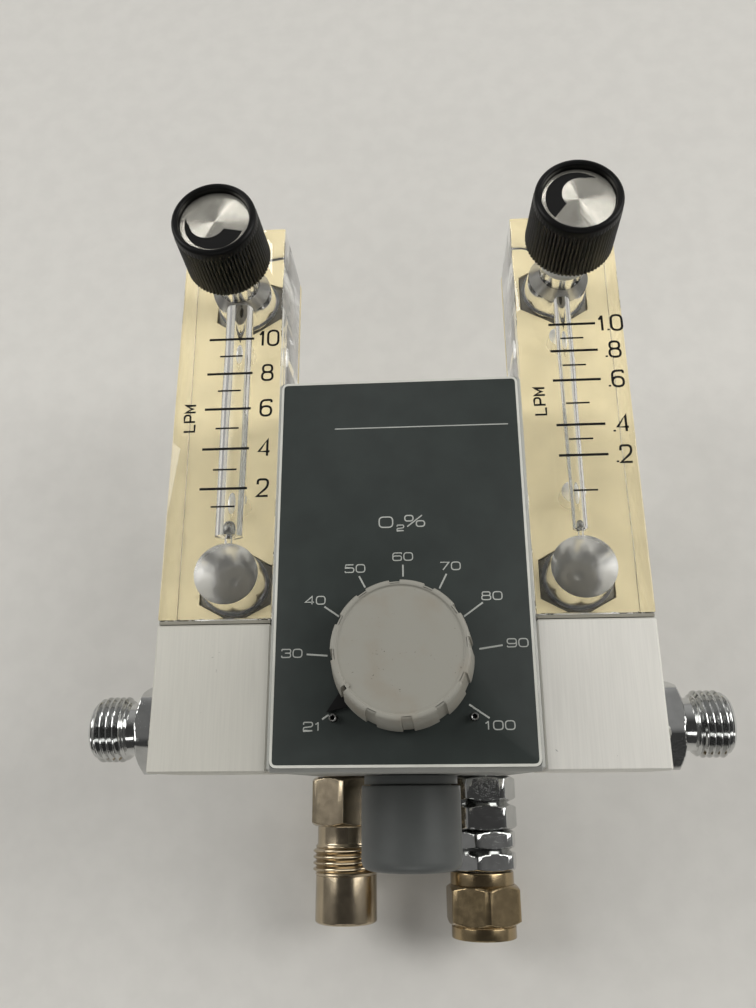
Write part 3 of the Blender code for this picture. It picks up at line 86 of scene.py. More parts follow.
class Value:
    """One output of a node. Python's operators on it add Math nodes."""

    def __init__(self, finish, socket):
        self.finish = finish
        self.socket = socket

    def math(self, operation, first, second):
        return self.finish.node("ShaderNodeMath", {"operation": operation}, {0: first, 1: second})

    def __add__(self, other):
        return self.math("ADD", self, other)

    def __sub__(self, other):
        return self.math("SUBTRACT", self, other)

    def __rsub__(self, other):
        return self.math("SUBTRACT", other, self)

    def __mul__(self, other):
        return self.math("MULTIPLY", self, other)

    __radd__ = __add__
    __rmul__ = __mul__

    def step(self, low, high):
        """0 below low, 1 above high, and a smooth rise between them."""
        limits = {"Value": self, "From Min": low, "From Max": high}
        return self.finish.node("ShaderNodeMapRange", {"interpolation_type": "SMOOTHSTEP"}, limits)


print("a millimetre is", MM, "of the frame's metres")

# %% [markdown]
# ## One class for every finish
# Each surface has one main shader. Its numbers could be typed into every material by hand, but a
# class keeps the steps in one place: it sets constants on the shader's own sockets, links what
# changes over the surface, and remembers the slot of the record that the finish belongs to.

# %% Finishes
class Finish:
    """A material round one main shader, with the record's slot that it belongs to."""

    def __init__(self, name, slot, colour, roughness, metallic=0.0, constants=None):
        self.slot = slot
        self.material = bpy.data.materials.new(name)
        self.material.use_nodes = True
        self.tree = self.material.node_tree
        self.shader = self.tree.nodes["Principled BSDF"]
        self.colour = (*colour, 1.0)
        self.feed("Base Color", self.colour)
        self.feed("Roughness", roughness)
        self.feed("Metallic", metallic)
        for socket, value in (constants or {}).items():
            self.feed(socket, value)

    def link(self, socket, value):
        if isinstance(value, Value):
            self.tree.links.new(value.socket, socket)
        else:
            socket.default_value = value

    def feed(self, name, value):
        self.link(self.shader.inputs[name], value)

    def node(self, kind, settings=None, inputs=None, output=0):
        made = self.tree.nodes.new(kind)
        for name, value in (settings or {}).items():
            setattr(made, name, value)
        for name, value in (inputs or {}).items():
            self.link(made.inputs[name], value)
        return Value(self, made.outputs[output])

    def spot(self, stretch=(1, 1, 1)):
        """The place on the piece in millimetres, pulled out along each axis."""
        place = self.node("ShaderNodeTexCoord", output="Object")
        scale = [part / MM for part in stretch]
        return self.node("ShaderNodeVectorMath", {"operation": "MULTIPLY"}, {0: place, 1: scale})

    def noise(self, scale, detail=2.0, stretch=(1, 1, 1)):
        inputs = {"Vector": self.spot(stretch), "Scale": scale, "Detail": detail}
        return self.node("ShaderNodeTexNoise", None, inputs)

    def mix(self, factor, first, second):
        return self.node("ShaderNodeMix", {"data_type": "RGBA"}, {0: factor, 6: first, 7: second}, 2)

    def bump(self, height, depth):
        self.feed("Normal", self.node("ShaderNodeBump", None, {"Height": height, "Distance": depth * MM}))

    def tone(self, share):
        """The finish's own colour, darker or lighter by a share."""
        return tuple(min(1.0, part * share) for part in self.colour[:3]) + (1.0,)


print(len(bpy.data.materials), "materials came with the frame")

# %% [markdown]
# ## Colours
# A colour on a screen is stored for the eye, while a shader works with amounts of light. Blender's
# colour picker turns one into the other, and in a script one formula does it.

# %% Colours
SCREEN_STEPS = 255
SCREEN_OFFSET = 0.055
SCREEN_POWER = 2.4
MID_GREY = 128


def tint(red, green, blue):
    """A colour as an eye dropper reads it, 0 to 255, turned into the light that a shader works with."""
    raised = [part / SCREEN_STEPS + SCREEN_OFFSET for part in (red, green, blue)]
    return tuple((part / (1 + SCREEN_OFFSET)) ** SCREEN_POWER for part in raised)


print("a grey of", MID_GREY, "is", round(tint(MID_GREY, MID_GREY, MID_GREY)[0], 3), "in light")

# %% [markdown]
# ## Paint, print and plastics
# The panel is a thin dark plate with a fine satin skin. The dial is a grey moulding that hands have
# marked, and the knobs are black. A flat colour would do from far off, but each of these has a slow
# change of tone, a fine grain in its gloss and a few stains, so every finish gets two or three noises
# at sizes measured in millimetres.

# %% Satin and moulded finishes
TONE_SCALE = 0.12
GLOSS_SCALE = 0.35
GLOSS_DETAIL = 4.0
GLOSS_SPREAD = 0.16


def cloud(finish, scale, share, detail=3.0, stretch=(1, 1, 1)):
    """Lets the colour drift round its own tone."""
    drift = finish.noise(scale, detail, stretch).step(0.3, 0.7)
    return finish.mix(drift, finish.tone(1 - share), finish.tone(1 + share))


def satin(name, slot, colour, roughness, metallic=0.0, grain=4.0, depth=0.004, drift=0.07, shine=0.5):
    """A plain satin skin: drifting tone, uneven gloss and a fine grain."""
    made = Finish(name, slot, colour, roughness, metallic, {"Specular IOR Level": shine})
    made.feed("Base Color", cloud(made, TONE_SCALE, drift))
    gloss = made.noise(GLOSS_SCALE, GLOSS_DETAIL)
    made.feed("Roughness", gloss * GLOSS_SPREAD + (roughness - GLOSS_SPREAD / 2))
    made.bump(made.noise(grain), depth)
    return made


panel_skin = satin("panel_skin", "panel_print", tint(47, 53, 51), 0.5, drift=0.09, shine=0.3)
pale_ink = satin("pale_ink", "panel_print", tint(214, 214, 206), 0.55)
mark_ink = satin("mark_ink", "panel_print", tint(178, 181, 176), 0.55)
scale_ink = satin("scale_ink", "black_plastic", tint(12, 12, 12), 0.5, shine=0.2)
pointer_black = satin("pointer_black", "black_plastic", tint(14, 14, 14), 0.6, shine=0.2)
cup_plastic = satin("cup_plastic", "dark_plastic", tint(90, 93, 92), 0.42, grain=7.0, depth=0.003, shine=0.4)
knob_plastic = satin(
    "knob_plastic", "black_plastic", tint(9, 9, 9), 0.4, grain=3.0, depth=0.0005, shine=0.16)
rubber = satin("rubber", "rubber", tint(24, 24, 24), 0.6, grain=8.0)
gasket_grey = satin("gasket_grey", "rubber", tint(142, 139, 127), 0.55, grain=8.0)
nylon = satin("nylon", "white_nylon", tint(226, 226, 220), 0.4)
nylon.feed("Transmission Weight", 0.35)
ivory = satin("ivory", "ivory_paint", tint(231, 217, 177), 0.45, grain=2.0, depth=0.002, drift=0.05)

WORN = (*tint(148, 138, 122), 1.0)
DIRT = (*tint(86, 78, 68), 1.0)
dial_plastic = Finish("dial_plastic", "grey_plastic", tint(153, 151, 142), 0.5)
handled = dial_plastic.noise(0.14, 4.0).step(0.45, 0.75)
specks = dial_plastic.noise(1.7, 5.0).step(0.66, 0.72) * dial_plastic.noise(0.16, 1.0).step(0.5, 0.62)
worn_tone = dial_plastic.mix(handled * 0.5, dial_plastic.colour, WORN)
dial_plastic.feed("Base Color", dial_plastic.mix(specks * 0.75, worn_tone, DIRT))
dial_plastic.feed("Roughness", 0.56 - handled * 0.14)
dial_plastic.bump(dial_plastic.noise(6.0, 3.0), 0.006)
print(len(bpy.data.materials), "materials with paint, plastic and rubber")

# %% [markdown]
# ## Metals
# Four metals show: brushed blocks, bright chrome, a warm worn nickel and the spun discs in the knobs.
# A metal shows what it mirrors in a tint of its own, so its look is mostly in its roughness. Brushed
# metal is a noise pulled out along the stroke of the belt, and plating gets smears and fine scratches
# in its gloss. Pictures of metal would do that too, but they would have to be unwrapped on every piece.

# %% Metal finishes
def plated(name, slot, colour, roughness, smear, scratch):
    """Bright plating: smears in the gloss, short scratches and a slight drift of colour."""
    made = Finish(name, slot, colour, roughness, 1.0)
    made.feed("Base Color", cloud(made, 0.25, 0.06))
    made.feed("Roughness", made.noise(0.5, 5.0).step(0.35, 0.8) * smear + roughness)
    across = made.noise(1.2, 3.0, (9, 1, 2)).step(0.6, 0.68)
    along = made.noise(1.0, 3.0, (1, 8, 3)).step(0.6, 0.68)
    made.bump(across + along, scratch)
    return made


def brushed(name, slot, colour, roughness, metallic, stroke, depth):
    """Metal rubbed by a belt, with a stroke that is long where its share is small."""
    made = Finish(name, slot, colour, roughness, metallic)
    lines = made.noise(2.6, 4.0, stroke)
    dents = made.noise(1.1, 4.0).step(0.7, 0.76) * made.noise(0.13, 1.0).step(0.55, 0.65)
    base = made.mix(lines.step(0.25, 0.75), made.tone(0.965), made.tone(1.025))
    made.feed("Base Color", made.mix(dents * 0.7, base, made.tone(0.25)))
    made.feed("Roughness", lines * GLOSS_SPREAD + (roughness - GLOSS_SPREAD / 2))
    made.bump(lines, depth)
    return made


LONG_STROKE = (1, 0.03, 1)
SHORT_STROKE = (1, 0.06, 1)
left_metal = brushed("left_metal", "aluminium", tint(216, 214, 205),
                     roughness=0.55, metallic=0.5, stroke=LONG_STROKE, depth=0.002)
# The right block is the same aluminium as the left, with its colour painted lighter to stand for the
# stronger light on its side.
right_metal_painted_lighter = brushed("right_metal_painted_lighter", "aluminium", tint(238, 236, 229),
                      roughness=0.5, metallic=0.5, stroke=LONG_STROKE, depth=0.002)
housing_metal = brushed("housing_metal", "grey_paint", tint(176, 177, 173),
                        roughness=0.5, metallic=0.5, stroke=SHORT_STROKE, depth=0.003)
spun_metal = plated("spun_metal", "spun_aluminium", tint(212, 209, 199),
                    roughness=0.16, smear=0.1, scratch=0.0)
chrome = plated("chrome", "chrome", tint(196, 197, 196), roughness=0.04, smear=0.08, scratch=0.002)
nickel = plated("nickel", "nickel", tint(184, 170, 146), roughness=0.19, smear=0.06, scratch=0.002)
nut_nickel = plated("nut_nickel", "nickel", tint(168, 149, 116), roughness=0.19, smear=0.07, scratch=0.002)
port_steel = satin("port_steel", "nickel", tint(104, 100, 90), 0.42, 0.5, grain=3.0, depth=0.003)
steel = plated("steel", "steel", tint(188, 188, 186), roughness=0.22, smear=0.12, scratch=0.002)
brass = plated("brass", "brass", tint(206, 178, 110), roughness=0.26, smear=0.14, scratch=0.003)
bronze = satin("sintered_bronze", "sintered_bronze", tint(150, 122, 84), 0.7, 0.9, grain=5.0, depth=0.05)
print(len(bpy.data.materials), "materials with the metals")

# %% [markdown]
# ## Clear acrylic
# Each flowmeter is a solid acrylic block with drilled passages. Real refraction gives the mirrored
# edges and the pale bands beside the tube for nothing. A drill leaves its bores frosted, so they get
# a rough copy of the same finish. Light would need caustics to reach the plate behind, so shadow rays
# pass nearly straight through instead.

# %% Acrylic finishes
ACRYLIC_BEND = 1.49
ACRYLIC_TINT = (0.985, 0.985, 0.965)
CLEAREST = (0.995, 0.995, 0.985, 1.0)
YELLOWED = (0.97, 0.97, 0.945, 1.0)


def acrylic_finish(name, clearness, roughness, smear, grain, depth, let_through, stretch=(1, 1, 1)):
    """Clear plastic with smears in its gloss, whose shadow is a share of a solid's."""
    clear = {"Transmission Weight": clearness, "IOR": ACRYLIC_BEND}
    made = Finish(name, "clear_acrylic", ACRYLIC_TINT, roughness, 0.0, clear)
    made.feed("Base Color", made.mix(made.noise(0.2), CLEAREST, YELLOWED))
    made.feed("Roughness", made.noise(0.6, 4.0).step(0.5, 0.8) * smear + (roughness - smear / 2))
    made.bump(made.noise(grain, 2.0, stretch), depth)
    shadow = made.node("ShaderNodeLightPath", None, None, "Is Shadow Ray")
    made.feed("Alpha", 1 - shadow * let_through)
    return made


DRILL_MARKS = (0.05, 0.05, 1)
acrylic = acrylic_finish("acrylic", clearness=1.0, roughness=0.012, smear=0.012,
                         grain=0.5, depth=0.0012, let_through=0.92)
frosted = acrylic_finish("frosted_acrylic", clearness=0.93, roughness=0.3, smear=0.05,
                         grain=5.0, depth=0.002, let_through=0.85)
chalky = acrylic_finish("chalky_acrylic", clearness=0.7, roughness=0.5, smear=0.1,
                        grain=5.0, depth=0.004, let_through=0.85)
bored = acrylic_finish("bored_acrylic", clearness=0.97, roughness=0.14, smear=0.05,
                       grain=4.0, depth=0.004, let_through=0.9, stretch=DRILL_MARKS)
print("acrylic bends light by", acrylic.shader.inputs["IOR"].default_value)

# %% [markdown]
# ## Corners and pieces
# Every mesh here is made from points in millimetres and put into the frame in one way. Modelling by
# hand is quicker for a single piece, but a script can be read and changed later. Sharp corners are
# cut back to small curves, because no real edge is perfectly sharp, and a small curve catches the
# light.

# %% Corners and pieces
TURN = 2 * math.pi
TURNS = {
    "+Z": Matrix.Identity(4),
    "-Z": Matrix.Rotation(math.pi, 4, "X"),
    "+X": Matrix.Rotation(math.pi / 2, 4, "Y"),
    "-X": Matrix.Rotation(-math.pi / 2, 4, "Y"),
    "+Y": Matrix.Rotation(-math.pi / 2, 4, "X"),
    "-Y": Matrix.Rotation(math.pi / 2, 4, "X"),
}
SEAM = 1e-7
NEARLY_HALF = 0.49


def soften(points, radius, closed=False, steps=4):
    """Rounds the corners of a row of points. A third value on a point keeps it sharp."""
    soft = []
    for index, point in enumerate(points):
        corner = Vector(point[:2])
        if len(point) > 2 or (not closed and index in (0, len(points) - 1)):
            soft.append(tuple(corner))
            continue
        before = Vector(points[index - 1][:2]) - corner
        after = Vector(points[(index + 1) % len(points)][:2]) - corner
        reach = min(radius, before.length * NEARLY_HALF, after.length * NEARLY_HALF)
        start = corner + before.normalized() * reach
        end = corner + after.normalized() * reach
        for step in range(steps + 1):
            part = step / steps
            soft.append(tuple(start.lerp(corner, part).lerp(corner.lerp(end, part), part)))
    return soft


def piece_from(name, bm, finish, at=(0, 0, 0), direction="+Z", smooth=32):
    """Puts a mesh in the scene, with its origin at a point and its +Z along a direction."""
    bmesh.ops.recalc_face_normals(bm, faces=bm.faces)
    mesh = bpy.data.meshes.new(name)
    bm.to_mesh(mesh)
    bm.free()
    mesh.materials.append(finish.material)
    piece = bpy.data.objects.new(name, mesh)
    piece.matrix_world = Matrix.Translation(Vector(at)) @ TURNS[direction]
    bpy.context.scene.collection.objects.link(piece)
    shade(piece, smooth)
    return piece


def shade(piece, smooth):
    piece.data.shade_smooth()
    piece.data.set_sharp_from_angle(angle=math.radians(smooth))


print("pieces can point along", *TURNS)

# %% [markdown]
# ## Lathe
# Nearly every piece here was turned on a lathe, so one helper spins a row of stations round an axis.
# Blender's Screw modifier can spin a profile too, but here a radius may depend on the angle, which
# gives hexagons and ribs, and a station may climb as it goes round, which gives a real helical
# thread.

# %% Lathe
def turned(name, stations, finish, at, direction="+Z", columns=96, turn=0.0, bore=False, smooth=32):
    """Spins stations of (height, radius) in millimetres. A radius may be a function of the angle, and so
    may a whole station. With a bore the profile closes on itself, otherwise both ends lie on the axis."""
    bm = bmesh.new()
    angles = columns
    if isinstance(columns, int):
        angles = [TURN * column / columns for column in range(columns)]
    grid = []
    for angle in list(angles) + [angles[0] + TURN]:
        column = []
        for station in stations:
            height, radius = station(angle) if callable(station) else station
            reach = radius(angle) if callable(radius) else radius
            spot = (reach * math.cos(angle + turn), reach * math.sin(angle + turn), height)
            column.append(bm.verts.new(Vector(spot) * MM))
        if bore:
            column.append(bm.verts.new(column[0].co))
        grid.append(column)
    for left, right in zip(grid, grid[1:]):
        for low in range(len(left) - 1):
            bm.faces.new((left[low], right[low], right[low + 1], left[low + 1]))
    bmesh.ops.remove_doubles(bm, verts=bm.verts, dist=SEAM)
    return piece_from(name, bm, finish, at, direction, smooth)


print("the lathe works in turns of", round(TURN, 3), "radians")

# %% [markdown]
# ## Hexagons and threads
# A hexagon on a fitting is more than a prism: its ends are turned to a cone, so that its flats end in
# arcs. A thread is more than a stack of rings: it climbs. Booleans could cut both, but as stations of
# the lathe they come out clean.

# %% Hexagons and threads
HALF_FLAT = TURN / 12
CORNER_WEAR = 0.12
WASHER_SHARE = 0.475
FLANK_SLOPE = 1.25
FADE_SLOPE = 1.6


def hexagon(flats, limit):
    """Radius by angle of a hexagon with a flat at angle 0, turned down to a limit."""
    return lambda angle: min(limit, flats / 2 / math.cos((angle + HALF_FLAT) % (TURN / 6) - HALF_FLAT))


def hex_run(start, end, flats, cone=30, steps=6):
    """Stations of a hexagon whose two ends are turned to a cone, as on a real nut."""
    corner = flats / 2 / math.cos(HALF_FLAT) - CORNER_WEAR
    washer = flats * WASHER_SHARE
    drop = (corner - washer) * math.tan(math.radians(cone))
    shares = [step / steps for step in range(steps + 1)]
    limits = [hexagon(flats, washer + (corner - washer) * part) for part in shares]
    rise = [(start + drop * part, limit) for part, limit in zip(shares, limits)]
    fall = [(end - drop * part, limit) for part, limit in zip(shares, limits)]
    return rise + fall[::-1]


def thread_run(start, pitch, turns, crest, depth, steps=8):
    """Stations of a helical thread that fades in and out over one turn at each end."""
    length = turns * pitch

    def station(index):
        def spot(angle):
            height = min(max((index / steps - 1 + angle / TURN) * pitch, 0), length)
            flank = min(1, FLANK_SLOPE * (1 - abs(2 * (index / steps % 1) - 1)))
            fade = min(1, FADE_SLOPE * height / pitch, FADE_SLOPE * (length - height) / pitch)
            return start + height, crest - depth * (1 - flank * fade)

        return spot

    return [station(index) for index in range((turns + 1) * steps + 1)]


print("a hexagon keeps", WASHER_SHARE * 2, "of its flats at the end of its cone")

# %% [markdown]
# ## Blocks and cuts
# The clear blocks and their plates are milled, so they start as blocks with rounded edges, and bores
# are cut out of them. A boolean is right here, because two bores that meet have an edge that no lathe
# gives. Each new wall keeps the finish of its cutter.

# %% Blocks and cuts
def block(name, low, high, finish, edge, steps=3):
    """A block between two corners whose edges are rounded."""
    bm = bmesh.new()
    bmesh.ops.create_cube(bm, size=1.0)
    bmesh.ops.scale(bm, vec=Vector(high) - Vector(low), verts=bm.verts)
    bmesh.ops.bevel(bm, geom=bm.edges[:], offset=edge * MM, segments=steps, profile=0.5, affect="EDGES")
    return piece_from(name, bm, finish, (Vector(low) + Vector(high)) / 2)


def cut(piece, *cutters, smooth=32):
    """Takes cutters out of a piece. The new walls keep the finish of their cutter."""
    for cutter in cutters:
        change = piece.modifiers.new("cut", "BOOLEAN")
        change.object = cutter
        change.solver = "EXACT"
        change.material_mode = "TRANSFER"
    view = bpy.context.evaluated_depsgraph_get()
    mesh = bpy.data.meshes.new_from_object(piece.evaluated_get(view))
    piece.modifiers.clear()
    piece.data = mesh
    for cutter in cutters:
        bpy.data.objects.remove(cutter, do_unlink=True)
    shade(piece, smooth)


# %% [markdown]
# ## Pieces on the frame
# A fine piece has to move as the CAD solid does that it stands for, so it rides on the same body.
# Parenting by hand would do for one piece. These helpers find the body by the node's name and print
# what was made.

# %% Pieces on the frame
def stands_for(piece, finish, *nodes):
    """Lets a fine piece take the place of CAD nodes and move with them."""
    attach(piece, body_of[nodes[0]])
    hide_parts(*nodes)
    print(piece.name, "for", *nodes, "with", len(piece.data.vertices), "points")


def goes_with(piece, node):
    """Fixes an extra piece, such as print, to the body that carries a node."""
    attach(piece, body_of[node])
    print(piece.name, "on", node, "with", len(piece.data.vertices), "points")


def middle(node):
    low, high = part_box(node)
    return (low + high) / 2


print("the dial's spindle is at", [round(part, 4) for part in middle("mixer_spindle")])

# %% [markdown]
# ## Printing
# The marks on the panel and on the blocks are ink, a few hundredths of a millimetre thick. Blender's
# text objects are one way to set them, but their typeface is not the real one. The two faces here, a
# wide square one on the panel and a light round one on the blocks, come from the same strokes with
# their corners rounded more or less.

# %% Figures and letters
LOOP = ((0, 0), (1, 0), (1, 1), (0, 1))
SHARP = 1
FIGURES = {
    "0": [LOOP + LOOP[:1]],
    "1": [((0.55, 0), (0.55, 1)), ((0.05, 0.74), (0.3, 0.8), (0.52, 0.97))],
    "2": [((0.02, 0.72), (0.02, 1), (1, 1), (1, 0.5), (0, 0.38), (0, 0, SHARP), (1, 0))],
    "3": [((0, 0.78), (0, 1), (1, 1), (1, 0.53), (0.35, 0.53)),
          ((0.35, 0.53), (1, 0.53), (1, 0), (0, 0), (0, 0.22))],
    "4": [((0.78, 0), (0.78, 1, SHARP), (0, 0.27, SHARP), (1, 0.27))],
    "5": [((0.95, 1), (0.06, 1, SHARP), (0, 0.6, SHARP), (1, 0.6), (1, 0), (0, 0), (0, 0.18))],
    "6": [((0, 0), (1, 0), (1, 0.6), (0, 0.6), (0, 0)), ((0, 0.3), (0, 1), (1, 1), (1, 0.84))],
    "7": [((0, 1), (1, 1, SHARP), (0.3, 0))],
    "8": [((0, 0), (1, 0), (1, 0.53), (0, 0.53), (0, 0)),
          ((0.06, 0.53), (0.94, 0.53), (0.94, 1), (0.06, 1), (0.06, 0.53))],
    "9": [((1, 1), (0, 1), (0, 0.4), (1, 0.4), (1, 1)), ((1, 0.7), (1, 0), (0, 0), (0, 0.16))],
    ".": [((0.4, 0), (0.4, 0.1))],
    "L": [((0, 1), (0, 0, SHARP), (1, 0))],
    "P": [((0, 0), (0, 1, SHARP), (1, 1), (1, 0.45), (0, 0.45))],
    "M": [((0, 0), (0, 1, SHARP), (0.5, 0.3, SHARP), (1, 1, SHARP), (1, 0))],
    "%": [((0, 0.5), (0.42, 0.5), (0.42, 1), (0, 1), (0, 0.5)), ((0.12, 0), (0.88, 1)),
          ((0.58, 0), (1, 0), (1, 0.5), (0.58, 0.5), (0.58, 0))],
}
NARROW = {"1": 0.62, ".": 0.1, "%": 1.25}
ROUND_FACE = 1.0
ROUND_TWO = [((0.03, 0.7), (0.05, 1), (0.97, 1), (0.97, 0.55), (0, 0, SHARP), (1, 0))]
print(len(FIGURES), "figures and letters")

# %% [markdown]
# ## Ink
# A stroke could be a curve with a bevel, but crossing curves flicker where they share a plane. Here
# each stroke is a thin closed ribbon, and each one is a little thicker than the one before.

# %% Strokes and words
INK = 0.03
LAYER = 0.0015
LAYERS = 9
LEAST_MITRE = 0.5
SAME_SPOT = 1e-6
SMALLEST_RIBBON = 8
LETTER_STEPS = 5


def stroke(bm, points, width):
    """A flat ribbon of ink along points in millimetres, as a closed solid that stands on z = 0."""
    lift = INK + LAYER * (len(bm.verts) // SMALLEST_RIBBON % LAYERS)
    spots = [Vector(point[:2]) for point in points]
    closed = (spots[0] - spots[-1]).length < SAME_SPOT
    if closed:
        spots.pop()
    last = len(spots) - 1
    rails = []
    for index, spot in enumerate(spots):
        before = spots[index - 1] if closed or index > 0 else spot
        after = spots[(index + 1) % len(spots)] if closed or index < last else spot
        along = (after - before).normalized()
        leg = (spot - before if index > 0 or closed else after - spot).normalized()
        side = Vector((-along.y, along.x)) * (width / 2 / max(LEAST_MITRE, along.dot(leg)))
        corners = [(spot - side, 0), (spot + side, 0), (spot + side, lift), (spot - side, lift)]
        rails.append([bm.verts.new(Vector((flat.x, flat.y, high)) * MM) for flat, high in corners])
    for index in range(len(rails) if closed else last):
        first, second = rails[index], rails[(index + 1) % len(rails)]
        for corner in range(4):
            following = (corner + 1) % 4
            bm.faces.new((first[corner], first[following], second[following], second[corner]))
    if not closed:
        bm.faces.new(rails[0])
        bm.faces.new(rails[-1])


def text_width(words, width, gap):
    return sum(width * NARROW.get(letter, 1) for letter in words) + gap * (len(words) - 1)


def write(bm, words, centre, height, width, gap, weight, roundness, lean=0.0):
    """Sets a short word round a centre, in millimetres, turned by an angle."""
    turn = Matrix.Rotation(lean, 2)
    pen = -text_width(words, width, gap) / 2
    for letter in words:
        wide = width * NARROW.get(letter, 1)
        lines = ROUND_TWO if letter == "2" and roundness > ROUND_FACE else FIGURES[letter]
        for line in lines:
            flat = [(pen + point[0] * wide, (point[1] - 0.5) * height) + tuple(point[2:]) for point in line]
            closed = flat[0][:2] == flat[-1][:2]
            soft = soften(flat[:-1] if closed else flat, roundness, closed, LETTER_STEPS)
            if closed:
                soft.append(soft[0])
            stroke(bm, [turn @ Vector(point[:2]) + Vector(centre) for point in soft], weight)
        pen += wide + gap


print("ink is up to", INK + LAYER * (LAYERS - 1), "mm thick")

# %% [markdown]
# ## Panel
# The panel is a thin dark plate with a pale border line. A bevelled cube rounds every edge alike, but
# this plate's corners are round only in its own plane, so the outline is drawn first and then raised.
# The spindle and the two stop pins pass through real holes.

# %% Panel plate and its border
SIDE_WORDS = ("left", "right")
PANEL_CORNER = 1.3
BORDER_WIDTH = 0.55
BORDER_INSET = 0.32
PANEL_EDGE = 0.12
CORNER_STEPS = 6
SPINDLE_HOLE = 4.2
PIN_HOLE = 0.9
HOLE_REACH = 3
DIAL_AXIS = middle("mixer_spindle")
panel_low, panel_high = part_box("front_panel")
panel_face = panel_high.z


def round_frame(half_x, half_y, corner):
    points = [(half_x, half_y), (-half_x, half_y), (-half_x, -half_y), (half_x, -half_y)]
    return soften(points, corner, True, CORNER_STEPS)


def make_panel():
    half = (panel_high - panel_low) / MM / 2
    bm = bmesh.new()
    outline = round_frame(half.x, half.y, PANEL_CORNER)
    face = bm.faces.new([bm.verts.new(Vector((x, y, -half.z)) * MM) for x, y in outline])
    raised = bmesh.ops.extrude_face_region(bm, geom=[face])
    lifted = [item for item in raised["geom"] if isinstance(item, bmesh.types.BMVert)]
    bmesh.ops.translate(bm, vec=(0, 0, 2 * half.z * MM), verts=lifted)
    rims = [edge for edge in bm.edges if all(vert in lifted for vert in edge.verts)]
    bmesh.ops.bevel(bm, geom=rims, offset=PANEL_EDGE * MM, segments=2, profile=0.5, affect="EDGES")
    centre = (panel_low + panel_high) / 2
    plate = piece_from("panel_plate", bm, panel_skin, centre)
    holes = [(DIAL_AXIS, SPINDLE_HOLE)]
    holes += [(middle(f"dial_stop_pin_{word}"), PIN_HOLE) for word in SIDE_WORDS]
    for number, (spot, radius) in enumerate(holes):
        hole = [(-HOLE_REACH, 0), (-HOLE_REACH, radius), (HOLE_REACH, radius), (HOLE_REACH, 0)]
        at = (spot.x, spot.y, panel_face)
        cut(plate, turned(f"panel_hole_{number}", hole, panel_skin, at, columns=48))
    stands_for(plate, panel_skin, "front_panel")
    bm = bmesh.new()
    border = round_frame(half.x - BORDER_INSET, half.y - BORDER_INSET, PANEL_CORNER)
    stroke(bm, border + border[:1], BORDER_WIDTH)
    line = piece_from("panel_border", bm, pale_ink, (centre.x, centre.y, panel_face))
    goes_with(line, "front_panel")


make_panel()

# %% [markdown]
# ## Print on the panel
# Ticks stand round the dial at the oxygen shares from 21 to 100. They are not evenly spaced, because
# the valve behind them isn't even, so each has its own angle and length. A picture of the print would
# blur from close up, so it is laid on as strokes, all in one piece.

# %% Ticks and figures round the dial
TICK_OUTER = 20.9
TICK_WEIGHT = 0.36
# Share of oxygen, angle in degrees and inner end of its tick
OXYGEN_TICKS = (
    ("21", -145.8, 19.3), ("30", 175.3, 16.4), ("40", 145.2, 17.0),
    ("50", 117.5, 18.0), ("60", 90.15, 18.25), ("70", 63.3, 17.3),
    ("80", 35.8, 15.8), ("90", 8.35, 15.9), ("100", -34.5, 16.0),
)
TICK_CENTRE = (0.38, -0.51)
FIGURE_HEIGHT = 1.7
FIGURE_WIDTH = 1.9
FIGURE_GAP = 0.52
FIGURE_WEIGHT = 0.24
FIGURE_CORNER = 0.65
RULE_HEIGHT = 31.5
RULE_REACH = (-15.0, 25.0)
RULE_WEIGHT = 0.26
FIGURE_ROOM = 1.0
LEAST_SHARE = 0.001
# Letter, centre, height, width, gap, weight and roundness
OXYGEN_SIGN = (
    ("0", (-3.3, 30.25), 2.4, 3.0, 0.5, 0.28, 0.9),
    ("2", (-0.1, 28.85), 1.3, 1.5, 0.3, 0.22, 0.45),
    ("%", (3.1, 30.4), 2.6, 3.5, 0.5, 0.28, 0.85),
)


def make_dial_print():
    bm = bmesh.new()
    centre = Vector(TICK_CENTRE)
    for words, degrees, inner in OXYGEN_TICKS:
        angle = math.radians(degrees)
        away = Vector((math.cos(angle), math.sin(angle)))
        stroke(bm, [centre + away * inner, centre + away * TICK_OUTER], TICK_WEIGHT)
        half = Vector((text_width(words, FIGURE_WIDTH, FIGURE_GAP) / 2, FIGURE_HEIGHT / 2))
        room = min(half.x / max(abs(away.x), LEAST_SHARE), half.y / max(abs(away.y), LEAST_SHARE))
        spot = centre + away * (TICK_OUTER + FIGURE_ROOM + room)
        write(bm, words, spot, FIGURE_HEIGHT, FIGURE_WIDTH, FIGURE_GAP, FIGURE_WEIGHT, FIGURE_CORNER)
    for letter, *setting in OXYGEN_SIGN:
        write(bm, letter, *setting)
    rule = [Vector((end, RULE_HEIGHT)) - DIAL_AXIS.xy / MM for end in RULE_REACH]
    stroke(bm, rule, RULE_WEIGHT)
    print_at = (DIAL_AXIS.x, DIAL_AXIS.y, panel_face)
    goes_with(piece_from("panel_marks", bm, mark_ink, print_at), "front_panel")


make_dial_print()

# %% [markdown]
# ## Dial
# The dial is a tapered grey moulding with twelve shallow finger grooves, a raised rim and a slightly
# sunk top. A narrow slit points at the black tongue under it. Booleans could cut the grooves, but the
# lathe does it too: the radius dips at each groove, and extra columns at its two walls keep them
# crisp.

